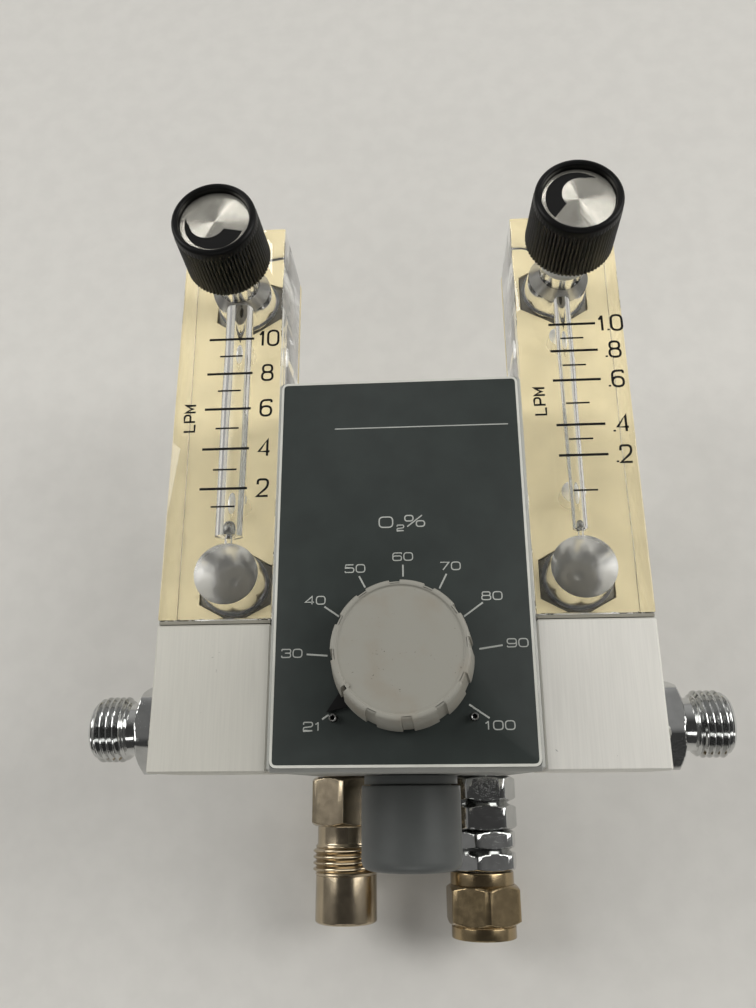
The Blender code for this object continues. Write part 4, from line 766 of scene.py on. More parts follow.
# %% Dial
GROOVES = 12
GROOVE_WIDTH = 2.0
GROOVE_DEPTH = 0.4
SLIT_WIDTH = 0.75
SLIT_DEPTH = 1.7
WALL = 0.12
DIAL_BASE = 15.0
DIAL_TOP = 13.8
REST_ANGLE = math.radians(-145.7)
DIAL_COLUMNS = 144
ANGLE_DIGITS = 6
HUB_DEPTH = 8.4
HUB_RADIUS = 3.5
FOOT_EDGE = 0.25
SIDE_END = (-0.9, 0.08)
SHOULDER = 0.6
SHOULDER_STEPS = 5
GROOVE_FADE = 0.35
RIM_WIDTH = 1.05
RIM_PROFILE = ((0, 0.3), (0, 0), (-0.38, -0.25), (-0.3, -0.7))
RIM_CORNER = 0.15
TOP_SINK = 0.28


def groove_list():
    grooves = []
    for index in range(GROOVES):
        width = GROOVE_WIDTH if index else SLIT_WIDTH
        depth = GROOVE_DEPTH if index else SLIT_DEPTH
        grooves.append((REST_ANGLE + TURN * index / GROOVES, width / 2 / DIAL_TOP, depth))
    return grooves


def grooved(radius, share=1.0):
    """Radius by angle of the dial's side, with the grooves cut to a share of their depth."""

    def reach(angle):
        for centre, half, depth in groove_list():
            away = abs((angle - centre + math.pi) % TURN - math.pi)
            wall = WALL / DIAL_TOP
            if away < half + wall:
                return radius - share * depth * min(1, (half + wall - away) / wall)
        return radius

    return reach


def dial_columns():
    angles = {round(TURN * column / DIAL_COLUMNS, ANGLE_DIGITS) for column in range(DIAL_COLUMNS)}
    for centre, half, _ in groove_list():
        for edge in (half, half + WALL / DIAL_TOP):
            angles.update(round((centre + side * edge) % TURN, ANGLE_DIGITS) for side in (-1, 1))
    return sorted(angles)


def make_dial():
    low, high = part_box("oxygen_dial")
    height = (high.z - low.z) / MM
    at = (DIAL_AXIS.x, DIAL_AXIS.y, low.z)
    rim_inner = DIAL_TOP - RIM_WIDTH
    stations = [(HUB_DEPTH, 0), (HUB_DEPTH, HUB_RADIUS), (0, HUB_RADIUS)]
    stations += [(0, grooved(DIAL_BASE - FOOT_EDGE)), (FOOT_EDGE, grooved(DIAL_BASE))]
    stations.append((height + SIDE_END[0], grooved(DIAL_TOP + SIDE_END[1])))
    for step in range(1, SHOULDER_STEPS + 1):
        angle = math.pi / 2 * step / SHOULDER_STEPS
        radius = DIAL_TOP - SHOULDER + SHOULDER * math.cos(angle)
        side = grooved(radius, 1 - GROOVE_FADE * step / SHOULDER_STEPS)
        stations.append((height - SHOULDER + SHOULDER * math.sin(angle), side))
    rim = [(height + rise, rim_inner + reach) for rise, reach in RIM_PROFILE]
    stations += soften(rim + [(height - TOP_SINK, 0)], RIM_CORNER)
    dial = turned("dial_grip", stations, dial_plastic, at, columns=dial_columns(), smooth=40)
    stands_for(dial, dial_plastic, "oxygen_dial")


make_dial()

# %% [markdown]
# ## Stop pins
# Two hollow pins stop the dial's pointer. A real one is a rolled tube with a rounded mouth, so it is
# one lathe profile that closes on itself.

# %% Stop pins
PIN_INNER = 0.5
PIN_OUTER = 0.8
PIN_MOUTH = 0.66
PIN_EDGE = 0.15
PIN_SINK = 0.12


def make_stop_pins():
    for side in SIDE_WORDS:
        low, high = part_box(f"dial_stop_pin_{side}")
        height = (high.z - low.z) / MM
        spot = (low + high) / 2
        profile = [(0, PIN_INNER), (0, PIN_OUTER), (height - PIN_EDGE, PIN_OUTER), (height, PIN_MOUTH)]
        profile.append((height - PIN_SINK, PIN_INNER))
        pin = turned(f"stop_pin_{side}", profile, steel, (spot.x, spot.y, low.z), columns=40, bore=True)
        stands_for(pin, steel, f"dial_stop_pin_{side}")


make_stop_pins()

# %% [markdown]
# ## Clear blocks
# Each block is milled square, drilled from behind for its two ports and two fixing holes, from the
# front for the needle valve, and along its length for the tapered flow tube. A texture could draw the
# bores, but only real ones cut out of a solid refract as they should.

# %% Clear blocks
TUBE_RADIUS = {"left": 3.6, "right": 2.1}
TUBE_TAPER = 0.4
PORT_BORE = 7.25
SEAL_SEAT = 7.75
SEAL_DEPTH = 1.1
VALVE_BORE = 5.35
VALVE_DEPTH = 8.5
FIXING_BORE = 2.75
DRILL_CONE = math.tan(math.radians(59))
FIXING_SPOTS = (("lower", 19.6), ("upper", -15.2))
FIXING_DEPTH = 7
LOWER_DEPTH = 14
JET_RADIUS = {"left": 0.9, "right": 0.65}
SEAT_DROP = 0.3
SEAT_CONE = 0.6
BLOCK_EDGE = 0.3
FLOOR_TILT = 0.3
OVERSHOOT = 1


def drill(name, profile, floor, at, columns=96):
    """A cutter with two finishes, because a drill leaves a rougher floor than wall."""
    cutter = turned(name, profile, bored, at, columns=columns)
    cutter.data.materials.append(floor.material)
    for face in cutter.data.polygons:
        face.material_index = int(abs(face.normal.z) > FLOOR_TILT)
    return cutter


def make_block(word):
    low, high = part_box(f"{word}_flowmeter_block")
    depth = (high.z - low.z) / MM
    lower = middle(f"{word}_lower_port_fitting")
    upper = middle(f"{word}_upper_port_fitting")
    solid = block(f"{word}_clear_block", low, high, acrylic, BLOCK_EDGE)
    cone = PORT_BORE / DRILL_CONE
    shoulder = depth - VALVE_DEPTH
    mouth = [(-OVERSHOOT, 0), (-OVERSHOOT, SEAL_SEAT), (SEAL_DEPTH, SEAL_SEAT), (SEAL_DEPTH, PORT_BORE)]
    lower_bore = mouth + [(LOWER_DEPTH, PORT_BORE), (LOWER_DEPTH + cone, 0)]
    upper_bore = mouth + [(shoulder - cone, PORT_BORE), (shoulder, VALVE_BORE)]
    upper_bore += [(depth + OVERSHOOT, VALVE_BORE), (depth + OVERSHOOT, 0)]
    cutters = [
        drill(f"{word}_cut_lower", lower_bore, frosted, (lower.x, lower.y, low.z)),
        drill(f"{word}_cut_upper", upper_bore, frosted, (upper.x, upper.y, low.z)),
    ]
    for name, step in FIXING_SPOTS:
        hole = [(-OVERSHOOT, 0), (-OVERSHOOT, FIXING_BORE), (FIXING_DEPTH, FIXING_BORE)]
        hole.append((FIXING_DEPTH + FIXING_BORE / DRILL_CONE, 0))
        base = lower if name == "lower" else upper
        at = (base.x, base.y + step * MM, low.z)
        cutters.append(drill(f"{word}_cut_{name}_fixing", hole, chalky, at, 48))
    wide = TUBE_RADIUS[word]
    narrow = wide - TUBE_TAPER
    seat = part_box(f"{word}_float")[0].y / MM - SEAT_DROP
    start = lower.y / MM
    end = upper.y / MM
    jet = JET_RADIUS[word]
    tube = [(start, 0), (start, jet), (seat, jet), (seat + SEAT_CONE, narrow), (end, wide), (end, 0)]
    tube_at = (lower.x, 0, (low.z + high.z) / 2)
    cutters.append(turned(f"{word}_cut_tube", tube, acrylic, tube_at, "+Y", columns=64))
    cut(solid, *cutters, smooth=28)
    stands_for(solid, acrylic, f"{word}_flowmeter_block")


print("bores of", PORT_BORE * 2, "and", VALVE_BORE * 2, "mm meet in each block")

# %% [markdown]
# ## Ivory plates
# A pale plate behind each clear block makes its scale easy to read. It is sheet, so a block with a
# tiny edge is enough, and each port fitting gets a hexagonal window cut into it.

# %% Ivory plates
PORT_FLATS = 15.875
WINDOW_GAP = 0.3
WINDOW_REACH = 5
PLATE_EDGE = 0.1


def make_plate(word):
    low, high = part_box(f"{word}_scale_plate")
    plate = block(f"{word}_ivory_plate", low, high, ivory, PLATE_EDGE, 1)
    for name in ("lower", "upper"):
        spot = middle(f"{word}_{name}_port_fitting")
        window = hexagon(PORT_FLATS + WINDOW_GAP, PORT_FLATS)
        hole = [(-WINDOW_REACH, 0), (-WINDOW_REACH, window), (WINDOW_REACH, window), (WINDOW_REACH, 0)]
        cut(plate, turned(f"{word}_cut_window_{name}", hole, ivory, (spot.x, spot.y, low.z), columns=12))
    stands_for(plate, ivory, f"{word}_scale_plate")


print("windows are", PORT_FLATS + WINDOW_GAP, "mm across flats")

# %% [markdown]
# ## Port fittings and seals
# Each port is a hexagonal fitting that clamps the block to its plate, with a rubber ring round its
# mouth. The ring could be a torus, but as a round section on the lathe it takes its size from the CAD
# seal like every other piece.

# %% Port fittings and seals
PORT_HOLE = 1.6
PORT_TAIL = 4.8
PORT_CONE = 22
PORT_LAND = 6.9
PORT_NOSE = 5.8
PORT_RIM = 4.9
PORT_CUP = 4.4
CUP_SINK = 0.6
SEAL_STEPS = 16
SEAL_GAP = 0.1


def make_port(word, name):
    node = f"{word}_{name}_port_fitting"
    low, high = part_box(node)
    spot = (low + high) / 2
    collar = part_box(f"{word}_scale_plate")
    front = (collar[1].z - low.z) / MM
    back = (collar[0].z - low.z) / MM
    top = (high.z - low.z) / MM
    stations = [(0, PORT_HOLE), (0, PORT_TAIL), (back, PORT_TAIL)]
    stations += hex_run(back, front, PORT_FLATS, PORT_CONE)
    stations += soften([(front, PORT_LAND), (front, PORT_NOSE), (top, PORT_NOSE), (top, PORT_RIM),
                        (top - CUP_SINK, PORT_CUP), (top - CUP_SINK, PORT_HOLE)], 0.25)
    at = (spot.x, spot.y, low.z)
    fitting = turned(f"{word}_{name}_port", stations, port_steel, at, columns=120, bore=True)
    stands_for(fitting, port_steel, node)
    seal_low, seal_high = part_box(f"{word}_{name}_port_seal")
    section = (seal_high.z - seal_low.z) / MM / 2
    ring = SEAL_SEAT - SEAL_GAP - section
    angles = [TURN * step / SEAL_STEPS for step in range(SEAL_STEPS)]
    profile = [(section + section * math.sin(angle), ring + section * math.cos(angle)) for angle in angles]
    seal = turned(f"{word}_{name}_seal_ring", profile, rubber, (spot.x, spot.y, seal_low.z), bore=True)
    stands_for(seal, rubber, f"{word}_{name}_port_seal")


print("seals sit in a step of", SEAL_SEAT * 2, "mm")

# %% [markdown]
# ## Floats
# A steel ball floats in each tube. A sphere from Blender's menu would do, but a half circle on the
# lathe keeps its poles on the tool's axis and its size that of the CAD ball. One loop then makes all
# the pieces of both flowmeters.

# %% Floats, and both flowmeters
BALL_STEPS = 24


def make_float(word):
    low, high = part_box(f"{word}_float")
    radius = (high.y - low.y) / MM / 2
    angles = [math.pi * step / BALL_STEPS for step in range(BALL_STEPS + 1)]
    stations = [(-radius * math.cos(angle), radius * math.sin(angle)) for angle in angles]
    stations[0] = (-radius, 0)
    stations[-1] = (radius, 0)
    ball = turned(f"{word}_ball", stations, steel, (low + high) / 2, columns=48)
    stands_for(ball, steel, f"{word}_float")


for word in SIDE_WORDS:
    make_block(word)
    make_plate(word)
    make_float(word)
    for name in ("lower", "upper"):
        make_port(word, name)

# %% [markdown]
# ## Flow scales
# The scales are printed in black on the front face of each block, in litres per minute. A loop with an
# even step would be shorter, but a ball doesn't climb evenly in a tapered tube, so each mark has its
# own height, a length on the block. The figures are in the light round face.

# %% Flow scales
LEFT_SCALE = {
    "long": (57.7, 48.2, 38.75, 28.4, 18.4),
    "short": (53.0, 43.6, 33.7, 23.15, 14.0),
    "figures": ("10", "8", "6", "4", "2"),
    "long_reach": (-46.8, -35.6),
    "short_reach": (-43.9, -38.3),
    "figures_at": -31.95,
    "unit_at": (-50.3, 36.5),
}
RIGHT_SCALE = {
    "long": (58.4, 51.2, 43.4, 31.9, 24.3),
    "short": (54.6, 47.35, 37.4, 28.3, 15.75),
    "figures": ("1.0", ".8", ".6", ".4", ".2"),
    "long_reach": (36.4, 47.6),
    "short_reach": (39.0, 44.5),
    "figures_at": 51.15,
    "unit_at": (33.0, 38.1),
}
LONG_WEIGHT = 0.62
SHORT_WEIGHT = 0.42
# Height, width, gap, weight and roundness
SCALE_FACE = (4.1, 2.55, 0.6, 0.56, 1.3)
UNIT_FACE = (2.6, 1.8, 0.72, 0.48, 0.75)


def make_scale(word, marks):
    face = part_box(f"{word}_flowmeter_block")[1].z
    bm = bmesh.new()
    for kind, weight in (("long", LONG_WEIGHT), ("short", SHORT_WEIGHT)):
        start, end = marks[f"{kind}_reach"]
        for height in marks[kind]:
            stroke(bm, [(start, height), (end, height)], weight)
    for height, words in zip(marks["long"], marks["figures"]):
        write(bm, words, (marks["figures_at"], height), *SCALE_FACE)
    write(bm, "LPM", marks["unit_at"], *UNIT_FACE, math.pi / 2)
    ink = piece_from(f"{word}_flow_scale", bm, scale_ink, (0, 0, face))
    goes_with(ink, f"{word}_flowmeter_block")


make_scale("left", LEFT_SCALE)
make_scale("right", RIGHT_SCALE)

# %% [markdown]
# ## Needle valves
# A pale bushing is pressed into the front of each clear block, and the valve's steel stem runs
# through it to a point. Both are plain lathe work, and their lengths come from the CAD nodes.

# %% Valves
BUSHING_BORE = 3.1
BUSHING_NECK = 4.5
BUSHING_TAIL = 5.15
FLANGE_RADIUS = 6.2
FLANGE_THICK = 1.4
CLEARANCE = 0.2
STEM_POINT = ((0, 0), (0.4, 0.55), (1.6, 1.1), (8.0, 1.1), (9.6, 2.8))
STEM_RADIUS = 2.8


def make_valve(word):
    node = f"{word}_valve_bushing"
    low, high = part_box(node)
    spot = (low + high) / 2
    length = (high.z - low.z) / MM
    flange = (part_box(f"{word}_flowmeter_block")[1].z + CLEARANCE * MM - low.z) / MM
    front = flange + FLANGE_THICK
    outline = [(length, BUSHING_BORE), (length, BUSHING_NECK), (front, BUSHING_NECK), (front, FLANGE_RADIUS)]
    outline += [(flange, FLANGE_RADIUS), (flange, BUSHING_TAIL), (0, BUSHING_TAIL), (0, BUSHING_BORE)]
    profile = soften(outline, 0.25, True)
    bushing = turned(f"{word}_bushing", profile, nylon, (spot.x, spot.y, low.z), columns=72, bore=True)
    stands_for(bushing, nylon, node)
    node = f"{word}_needle_stem"
    low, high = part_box(node)
    length = (high.z - low.z) / MM
    profile = soften([*STEM_POINT, (length, STEM_RADIUS), (length, 0)], 0.3)
    stem = turned(f"{word}_stem", profile, steel, (spot.x, spot.y, low.z), columns=48)
    stands_for(stem, steel, node)


print("valve stems are", STEM_RADIUS * 2, "mm thick")

# %% [markdown]
# ## Knobs
# Each knob has seventy fine ribs below a plain band, and a spun metal disc let into its top. Spun
# metal shows bright wedges because its turning marks tilt it a little inwards and outwards. A special
# shader can fake that, but rings of small waves do it with plain geometry, which also survives an
# export.

# %% Knobs
RIBS = 70
RIB_COLUMNS = 8
RIB_DEPTH = 0.42
KNOB_BASE = 10.5
KNOB_TOP = 10.1
BAND = 2.4
DISC_RADIUS = 8.15
DISC_RINGS = 40
RING_STEPS = 6
RING_RELIEF = 0.0085
KNOB_INSIDE = ((13, 0), (13, 3.0), (5, 3.0), (5, 7.2), (0, 7.2))
KNOB_FOOT = 0.3
FOOT_RIB = 0.25
BAND_RIB = 0.1
DISC_EDGE = 0.05


def ribbed(radius, depth):
    return lambda angle: radius - depth * (1 - abs(math.cos(RIBS * angle / 2)))


def make_knob(word):
    low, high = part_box(f"{word}_flow_knob")
    axis = middle(f"{word}_needle_stem")
    disc_low, disc_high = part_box(f"{word}_knob_disc")
    height = (high.z - low.z) / MM
    seat = (disc_low.z - low.z) / MM - DISC_EDGE
    band = height - BAND
    band_radius = KNOB_TOP - 0.06
    top = [(band + 0.12, band_radius), (height - 0.5, band_radius - 0.12), (height, band_radius - 0.75)]
    top += [(height - 0.05, DISC_RADIUS + 0.55), (height - 0.45, DISC_RADIUS + 0.22)]
    top = soften(top + [(seat, DISC_RADIUS + 0.2), (seat, 0)], 0.45)
    stations = [*KNOB_INSIDE, (0, KNOB_BASE - 0.75)]
    stations += [(0, ribbed(KNOB_BASE - KNOB_FOOT, FOOT_RIB)), (KNOB_FOOT, ribbed(KNOB_BASE, RIB_DEPTH))]
    stations += [(band - 0.1, ribbed(KNOB_TOP, RIB_DEPTH)), (band, ribbed(KNOB_TOP - 0.02, BAND_RIB))]
    knob = turned(f"{word}_knob_grip", stations + top, knob_plastic, (axis.x, axis.y, low.z),
                  columns=RIBS * RIB_COLUMNS, smooth=50)
    stands_for(knob, knob_plastic, f"{word}_flow_knob")
    thick = (disc_high.z - disc_low.z) / MM
    rings = [(0, 0), (0, DISC_RADIUS), (thick - DISC_EDGE, DISC_RADIUS)]
    for step in range(DISC_RINGS * RING_STEPS):
        radius = DISC_RADIUS * (1 - (step + 0.5) / DISC_RINGS / RING_STEPS)
        rings.append((thick - RING_RELIEF * (1 + math.sin(TURN * step / RING_STEPS)), radius))
    rings.append((thick - RING_RELIEF, 0))
    at = (axis.x, axis.y, disc_low.z)
    disc = turned(f"{word}_spun_disc", rings, spun_metal, at, columns=120, smooth=45)
    stands_for(disc, spun_metal, f"{word}_knob_disc")
    make_crescent(word, axis, disc_high.z)


print("each disc has", DISC_RINGS, "turning marks")

# %% [markdown]
# ## Crescents on the discs
# A black crescent on each disc shows which way its valve opens. It lies between two arcs with
# different centres, so it is made as a strip with one point on each arc at every step. The two points
# meet at the tail.

# %% Crescents on the discs
CRESCENT_TURN = {"left": 0.0, "right": math.radians(-117)}
CRESCENT_STEPS = 48
CRESCENT_START = 165
OUTER_SWEEP = 340 - CRESCENT_START
INNER_SWEEP = 333 - CRESCENT_START
TAIL_SHARE = 0.14
OUTER_CENTRE, OUTER_RADIUS = Vector((0, -0.05)), 0.86
INNER_CENTRE, INNER_RADIUS = Vector((-0.2, 0)), 0.53


def make_crescent(word, axis, height):
    """A black crescent between two arcs, thin at its tail and blunt at its other end."""
    bm = bmesh.new()
    turn = Matrix.Rotation(CRESCENT_TURN[word], 2)
    rails = []
    for step in range(CRESCENT_STEPS + 1):
        part = step / CRESCENT_STEPS
        outer_angle = math.radians(CRESCENT_START + OUTER_SWEEP * part)
        inner_angle = math.radians(CRESCENT_START + INNER_SWEEP * part)
        outer = OUTER_CENTRE + Vector((math.cos(outer_angle), math.sin(outer_angle))) * OUTER_RADIUS
        inner = INNER_CENTRE + Vector((math.cos(inner_angle), math.sin(inner_angle))) * INNER_RADIUS
        inner = inner.lerp(outer, max(0, 1 - part / TAIL_SHARE))
        rail = []
        for flat, lift in ((outer, 0), (inner, 0), (inner, INK), (outer, INK)):
            flat = turn @ (flat * DISC_RADIUS)
            rail.append(bm.verts.new(Vector((flat.x, flat.y, lift)) * MM))
        rails.append(rail)
    for first, second in zip(rails, rails[1:]):
        for corner in range(4):
            following = (corner + 1) % 4
            bm.faces.new((first[corner], first[following], second[following], second[corner]))
    bm.faces.new(rails[-1])
    bmesh.ops.remove_doubles(bm, verts=bm.verts, dist=SEAM)
    mark = piece_from(f"{word}_crescent", bm, scale_ink, (axis.x, axis.y, height))
    goes_with(mark, f"{word}_knob_disc")


for word in SIDE_WORDS:
    make_valve(word)
    make_knob(word)

# %% [markdown]
# ## Outlets
# Gas leaves through a chrome thread on each side. A stack of rings would look like a thread from far
# off, but its highlights would be straight, so the thread is a real helix, behind a hexagon whose
# ends are coned.

# %% Side outlets
OUTLET_TURN = {"left": math.radians(9.5), "right": math.radians(-16)}
OUTLET_TAIL = ((-9, 3.0), (-9, 6.0), (0, 6.0))
OUTLET_HEX = 4.7
OUTLET_FLATS = 17.46
OUTLET_NECK = 5.65
OUTLET_THREAD = 7.9
OUTLET_PITCH = 1.41
OUTLET_CREST = 7.14
OUTLET_DEPTH = 0.85
OUTLET_TIP = 15.75
OUTLET_BORE = 4.6
OUTLET_WAY = 3.0
BORE_DEPTH = 8.5
THREAD_TURNS = 5


def make_outlet(word):
    low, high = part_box(f"{word}_outlet")
    spot = (low + high) / 2
    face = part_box(f"{word}_manifold")
    start = face[1].x + CLEARANCE * MM if word == "right" else face[0].x - CLEARANCE * MM
    outward = "+X" if word == "right" else "-X"
    tip = OUTLET_TIP
    stations = [*OUTLET_TAIL] + hex_run(0, OUTLET_HEX, OUTLET_FLATS)
    stations += soften([(OUTLET_HEX, 6.6), (OUTLET_HEX, OUTLET_NECK), (OUTLET_THREAD - 0.5, OUTLET_NECK),
                        (OUTLET_THREAD, 6.2)], 0.2)
    stations += thread_run(OUTLET_THREAD, OUTLET_PITCH, THREAD_TURNS, OUTLET_CREST, OUTLET_DEPTH)
    mouth = [(tip - 0.6, OUTLET_CREST - OUTLET_DEPTH), (tip, 5.7), (tip, 4.9), (tip - 0.4, OUTLET_BORE)]
    mouth += [(tip - BORE_DEPTH, OUTLET_BORE), (tip - BORE_DEPTH, OUTLET_WAY)]
    stations += soften(mouth, 0.2)
    outlet = turned(f"{word}_outlet_fitting", stations, chrome, (start, spot.y, spot.z), outward, 120,
                    OUTLET_TURN[word], True)
    stands_for(outlet, chrome, f"{word}_outlet")


for word in SIDE_WORDS:
    make_outlet(word)

# %% [markdown]
# ## Air inlet
# Air comes in from below through a nickel fitting: a long hexagon, a thread and a long smooth nose.
# It is the same lathe work as an outlet, pointing down, with the place of its axis taken from the
# filter inside it.

# %% Air inlet
INLET_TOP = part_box("main_housing")[0].y - CLEARANCE * MM
INLET_TAIL = ((-10, 4.5), (-10, 6.9), (0, 6.9))
INLET_FLATS = 19.05
INLET_WAY = 4.5
AIR_HEX = 13.3
AIR_NECK = 8.3
AIR_THREAD = 18.4
AIR_PITCH = 1.59
AIR_CREST = 9.52
AIR_DEPTH = 0.95
AIR_NOSE = 26.35
AIR_END = AIR_NOSE + 12.3
AIR_BORE = 6.4
AIR_BORE_DEPTH = 11


def inlet_at(node):
    spot = middle(node)
    return (spot.x, INLET_TOP, spot.z)


def make_air_inlet():
    end = AIR_END
    stations = [*INLET_TAIL] + hex_run(0, AIR_HEX, INLET_FLATS)
    neck = [(AIR_HEX, 8.9), (AIR_HEX, AIR_NECK), (AIR_THREAD - 0.4, AIR_NECK), (AIR_THREAD, 8.5)]
    stations += soften(neck, 0.3)
    stations += thread_run(AIR_THREAD, AIR_PITCH, THREAD_TURNS, AIR_CREST, AIR_DEPTH)
    stations += soften([(AIR_NOSE, AIR_CREST - AIR_DEPTH), (AIR_NOSE, 8.65), (end - 0.5, 8.7), (end, 8.1),
                        (end, 6.8), (end - 0.4, AIR_BORE), (end - AIR_BORE_DEPTH, AIR_BORE),
                        (end - AIR_BORE_DEPTH, INLET_WAY)], 0.25)
    fitting = turned("air_fitting", stations, nickel, inlet_at("air_filter"), "-Y", 120, bore=True)
    stands_for(fitting, nickel, "air_inlet")


make_air_inlet()

# %% [markdown]
# ## Oxygen inlet
# Oxygen comes in through two chrome fittings, each with two short hexagons and a groove between them.
# They stand at different angles, as fittings do that are screwed in until they are tight, so each has
# its own turn.

# %% Oxygen inlet
GROOVE_HALF = 0.5
GROOVE_SINK = 1.4
GROOVED_CONE = 24
OXYGEN_HEX = 14.4
OXYGEN_TURN = math.radians(80)
ADAPTER_START = 14.6
ADAPTER_HEX = 10.4
ADAPTER_FLATS = 19.0
ADAPTER_TURN = math.radians(69)
NIPPLE_TAIL = ((8.6, 2.2), (8.6, 4.2), (ADAPTER_START, 4.2))
NIPPLE_RADIUS = 4.6
NIPPLE_COLLAR = 6.2
COLLAR_REACH = (3.7, 5.7)
NIPPLE_BORE = 2.2


def grooved_hex(start, length, flats):
    """Two short hexagons with a groove between them."""
    half = start + length / 2
    first = hex_run(start, half - GROOVE_HALF, flats, GROOVED_CONE)
    second = hex_run(half + GROOVE_HALF, start + length, flats, GROOVED_CONE)
    return first + [(half, flats / 2 - GROOVE_SINK)] + second


def make_oxygen_inlet():
    at = inlet_at("oxygen_filter")
    stations = [*INLET_TAIL] + grooved_hex(0, OXYGEN_HEX, INLET_FLATS) + [(OXYGEN_HEX, INLET_WAY)]
    fitting = turned("oxygen_fitting", stations, chrome, at, "-Y", 120, OXYGEN_TURN, True)
    stands_for(fitting, chrome, "oxygen_inlet")
    end = ADAPTER_START + ADAPTER_HEX
    near, far = [end + reach for reach in COLLAR_REACH]
    tail = (INLET_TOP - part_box("oxygen_adapter")[0].y) / MM
    stations = [*NIPPLE_TAIL] + grooved_hex(ADAPTER_START, ADAPTER_HEX, ADAPTER_FLATS)
    stations += [(end, NIPPLE_RADIUS), (near, NIPPLE_RADIUS), (near, NIPPLE_COLLAR), (far, NIPPLE_COLLAR)]
    stations += [(far, NIPPLE_RADIUS)]
    stations += soften([(tail - 0.5, NIPPLE_RADIUS), (tail, 4.1), (tail, NIPPLE_BORE)], 0.2)
    fitting = turned("oxygen_nipple", stations, chrome, at, "-Y", 120, ADAPTER_TURN, True)
    stands_for(fitting, chrome, "oxygen_adapter")


make_oxygen_inlet()

# %% [markdown]
# ## Coupling nut
# The nut of the oxygen hose turns freely on the nipple's collar. It has a plain collar, a hexagon and
# a ring at its mouth. As the lathe spins the hexagon with the rest, the whole nut is one closed mesh.

# %% Coupling nut
NUT_COLLAR = 3.4
NUT_HEX = 13.6
NUT_CONE = 32
NUT_RING = 8.95
NUT_END = 16.9
NUT_BORE = 7.2
NUT_FLOOR = 3.1
NUT_WAY = 4.9
NUT_TURN = math.radians(52)


def make_coupling_nut():
    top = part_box("coupling_nut")[1].y
    spot = inlet_at("oxygen_filter")
    stations = soften([(0, NUT_WAY), (0, 8.9), (NUT_COLLAR, 8.9), (NUT_COLLAR, 8.7)], 0.45)[:-1]
    stations += hex_run(NUT_COLLAR, NUT_HEX, INLET_FLATS, NUT_CONE)
    ring = [(NUT_HEX, 8.8), (NUT_HEX + 0.2, 8.7), (NUT_HEX + 0.3, NUT_RING), (NUT_END, NUT_RING)]
    ring += [(NUT_END, 7.6), (NUT_END - 0.4, NUT_BORE), (NUT_FLOOR, NUT_BORE), (NUT_FLOOR, NUT_WAY)]
    stations += soften(ring, 0.3)
    nut = turned("gas_nut", stations, nut_nickel, (spot[0], top, spot[2]), "-Y", 120, NUT_TURN, True)
    stands_for(nut, nut_nickel, "coupling_nut")


make_coupling_nut()

# %% [markdown]
# ## Alarm cup
# The grey cup between the inlets is the whistle that sounds when one supply fails. It is a moulded
# cap with a broad soft corner on a ring of the same plastic, and both are turned.

# %% Alarm cup
COLLAR_TAIL = ((-9, 4.5), (-9, 7.4), (0, 7.4))
COLLAR_FLANGE = 11.9
COLLAR_THICK = 2.2
COLLAR_END = 6.2
SPIGOT = 10.3
CUP_START = 2.4
CUP_LENGTH = 20.0
CUP_INSIDE = 10.5
CUP_RADIUS = 12.6
CUP_CORNER = 2.6
CUP_STEPS = 8
CUP_FLOOR = 2.1


def make_alarm():
    at = inlet_at("alarm_poppet")
    flange = [(0, 11.2), (0, COLLAR_FLANGE), (COLLAR_THICK, COLLAR_FLANGE), (COLLAR_THICK, SPIGOT)]
    collar = [*COLLAR_TAIL] + soften(flange, 0.2) + [(COLLAR_END, SPIGOT), (COLLAR_END, INLET_WAY)]
    ring = turned("whistle_collar", collar, cup_plastic, at, "-Y", 96, bore=True)
    stands_for(ring, cup_plastic, "alarm_collar")
    start = CUP_START
    end = start + CUP_LENGTH
    outer = soften([(start, CUP_INSIDE), (start, CUP_RADIUS - 0.1), (start + 0.5, CUP_RADIUS),
                    (end - 0.1, CUP_RADIUS), (end, 0)], CUP_CORNER, False, CUP_STEPS)
    profile = [(end - CUP_FLOOR, 0), (end - CUP_FLOOR, 8.6), (end - 4.0, CUP_INSIDE)] + outer
    cup = turned("whistle_cup", profile, cup_plastic, at, "-Y", 96)
    stands_for(cup, cup_plastic, "alarm_cup")


make_alarm()

# %% [markdown]
# ## Balance cap
# A steel plug closes the chamber at the top, where the two supply pressures are made equal. It has a
# sunk face with two holes for a pin wrench, and only the holes need a boolean.

# %% Balance cap
CAP_RIM = 2.2
CAP_SLOPE = 0.4
CAP_SINK = 0.5
WRENCH_REACH = 13
WRENCH_RADIUS = 2.0
WRENCH_DEPTH = 3.5


def make_balance_cap():
    low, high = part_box("balance_cap")
    at = ((low.x + high.x) / 2, low.y, (low.z + high.z) / 2)
    radius = (high.x - low.x) / MM / 2
    thick = (high.y - low.y) / MM
    sunk = thick - CAP_SINK
    profile = [(0, 0)] + soften([(0, radius), (thick, radius), (thick, radius - CAP_RIM),
                                 (sunk, radius - CAP_RIM - CAP_SLOPE), (sunk, 0)], 0.35)
    cap = turned("balance_plug", profile, steel, at, "+Y", 120)
    floor = thick - WRENCH_DEPTH
    mouth = thick + OVERSHOOT
    for side in (-1, 1):
        hole = [(floor, 0), (floor, WRENCH_RADIUS), (mouth, WRENCH_RADIUS), (mouth, 0)]
        spot = (at[0] + side * WRENCH_REACH * MM, at[1], at[2])
        cut(cap, turned(f"balance_hole_{side}", hole, steel, spot, "+Y", 48))
    stands_for(cap, steel, "balance_cap")


make_balance_cap()

# %% [markdown]
# ## Screws of the side blocks
# Two socket screws hold each side block to the housing. Only their heads show, but each is a whole
# screw, because the lathe gives the shank for nothing. The socket is a hexagon that the profile
# starts in.

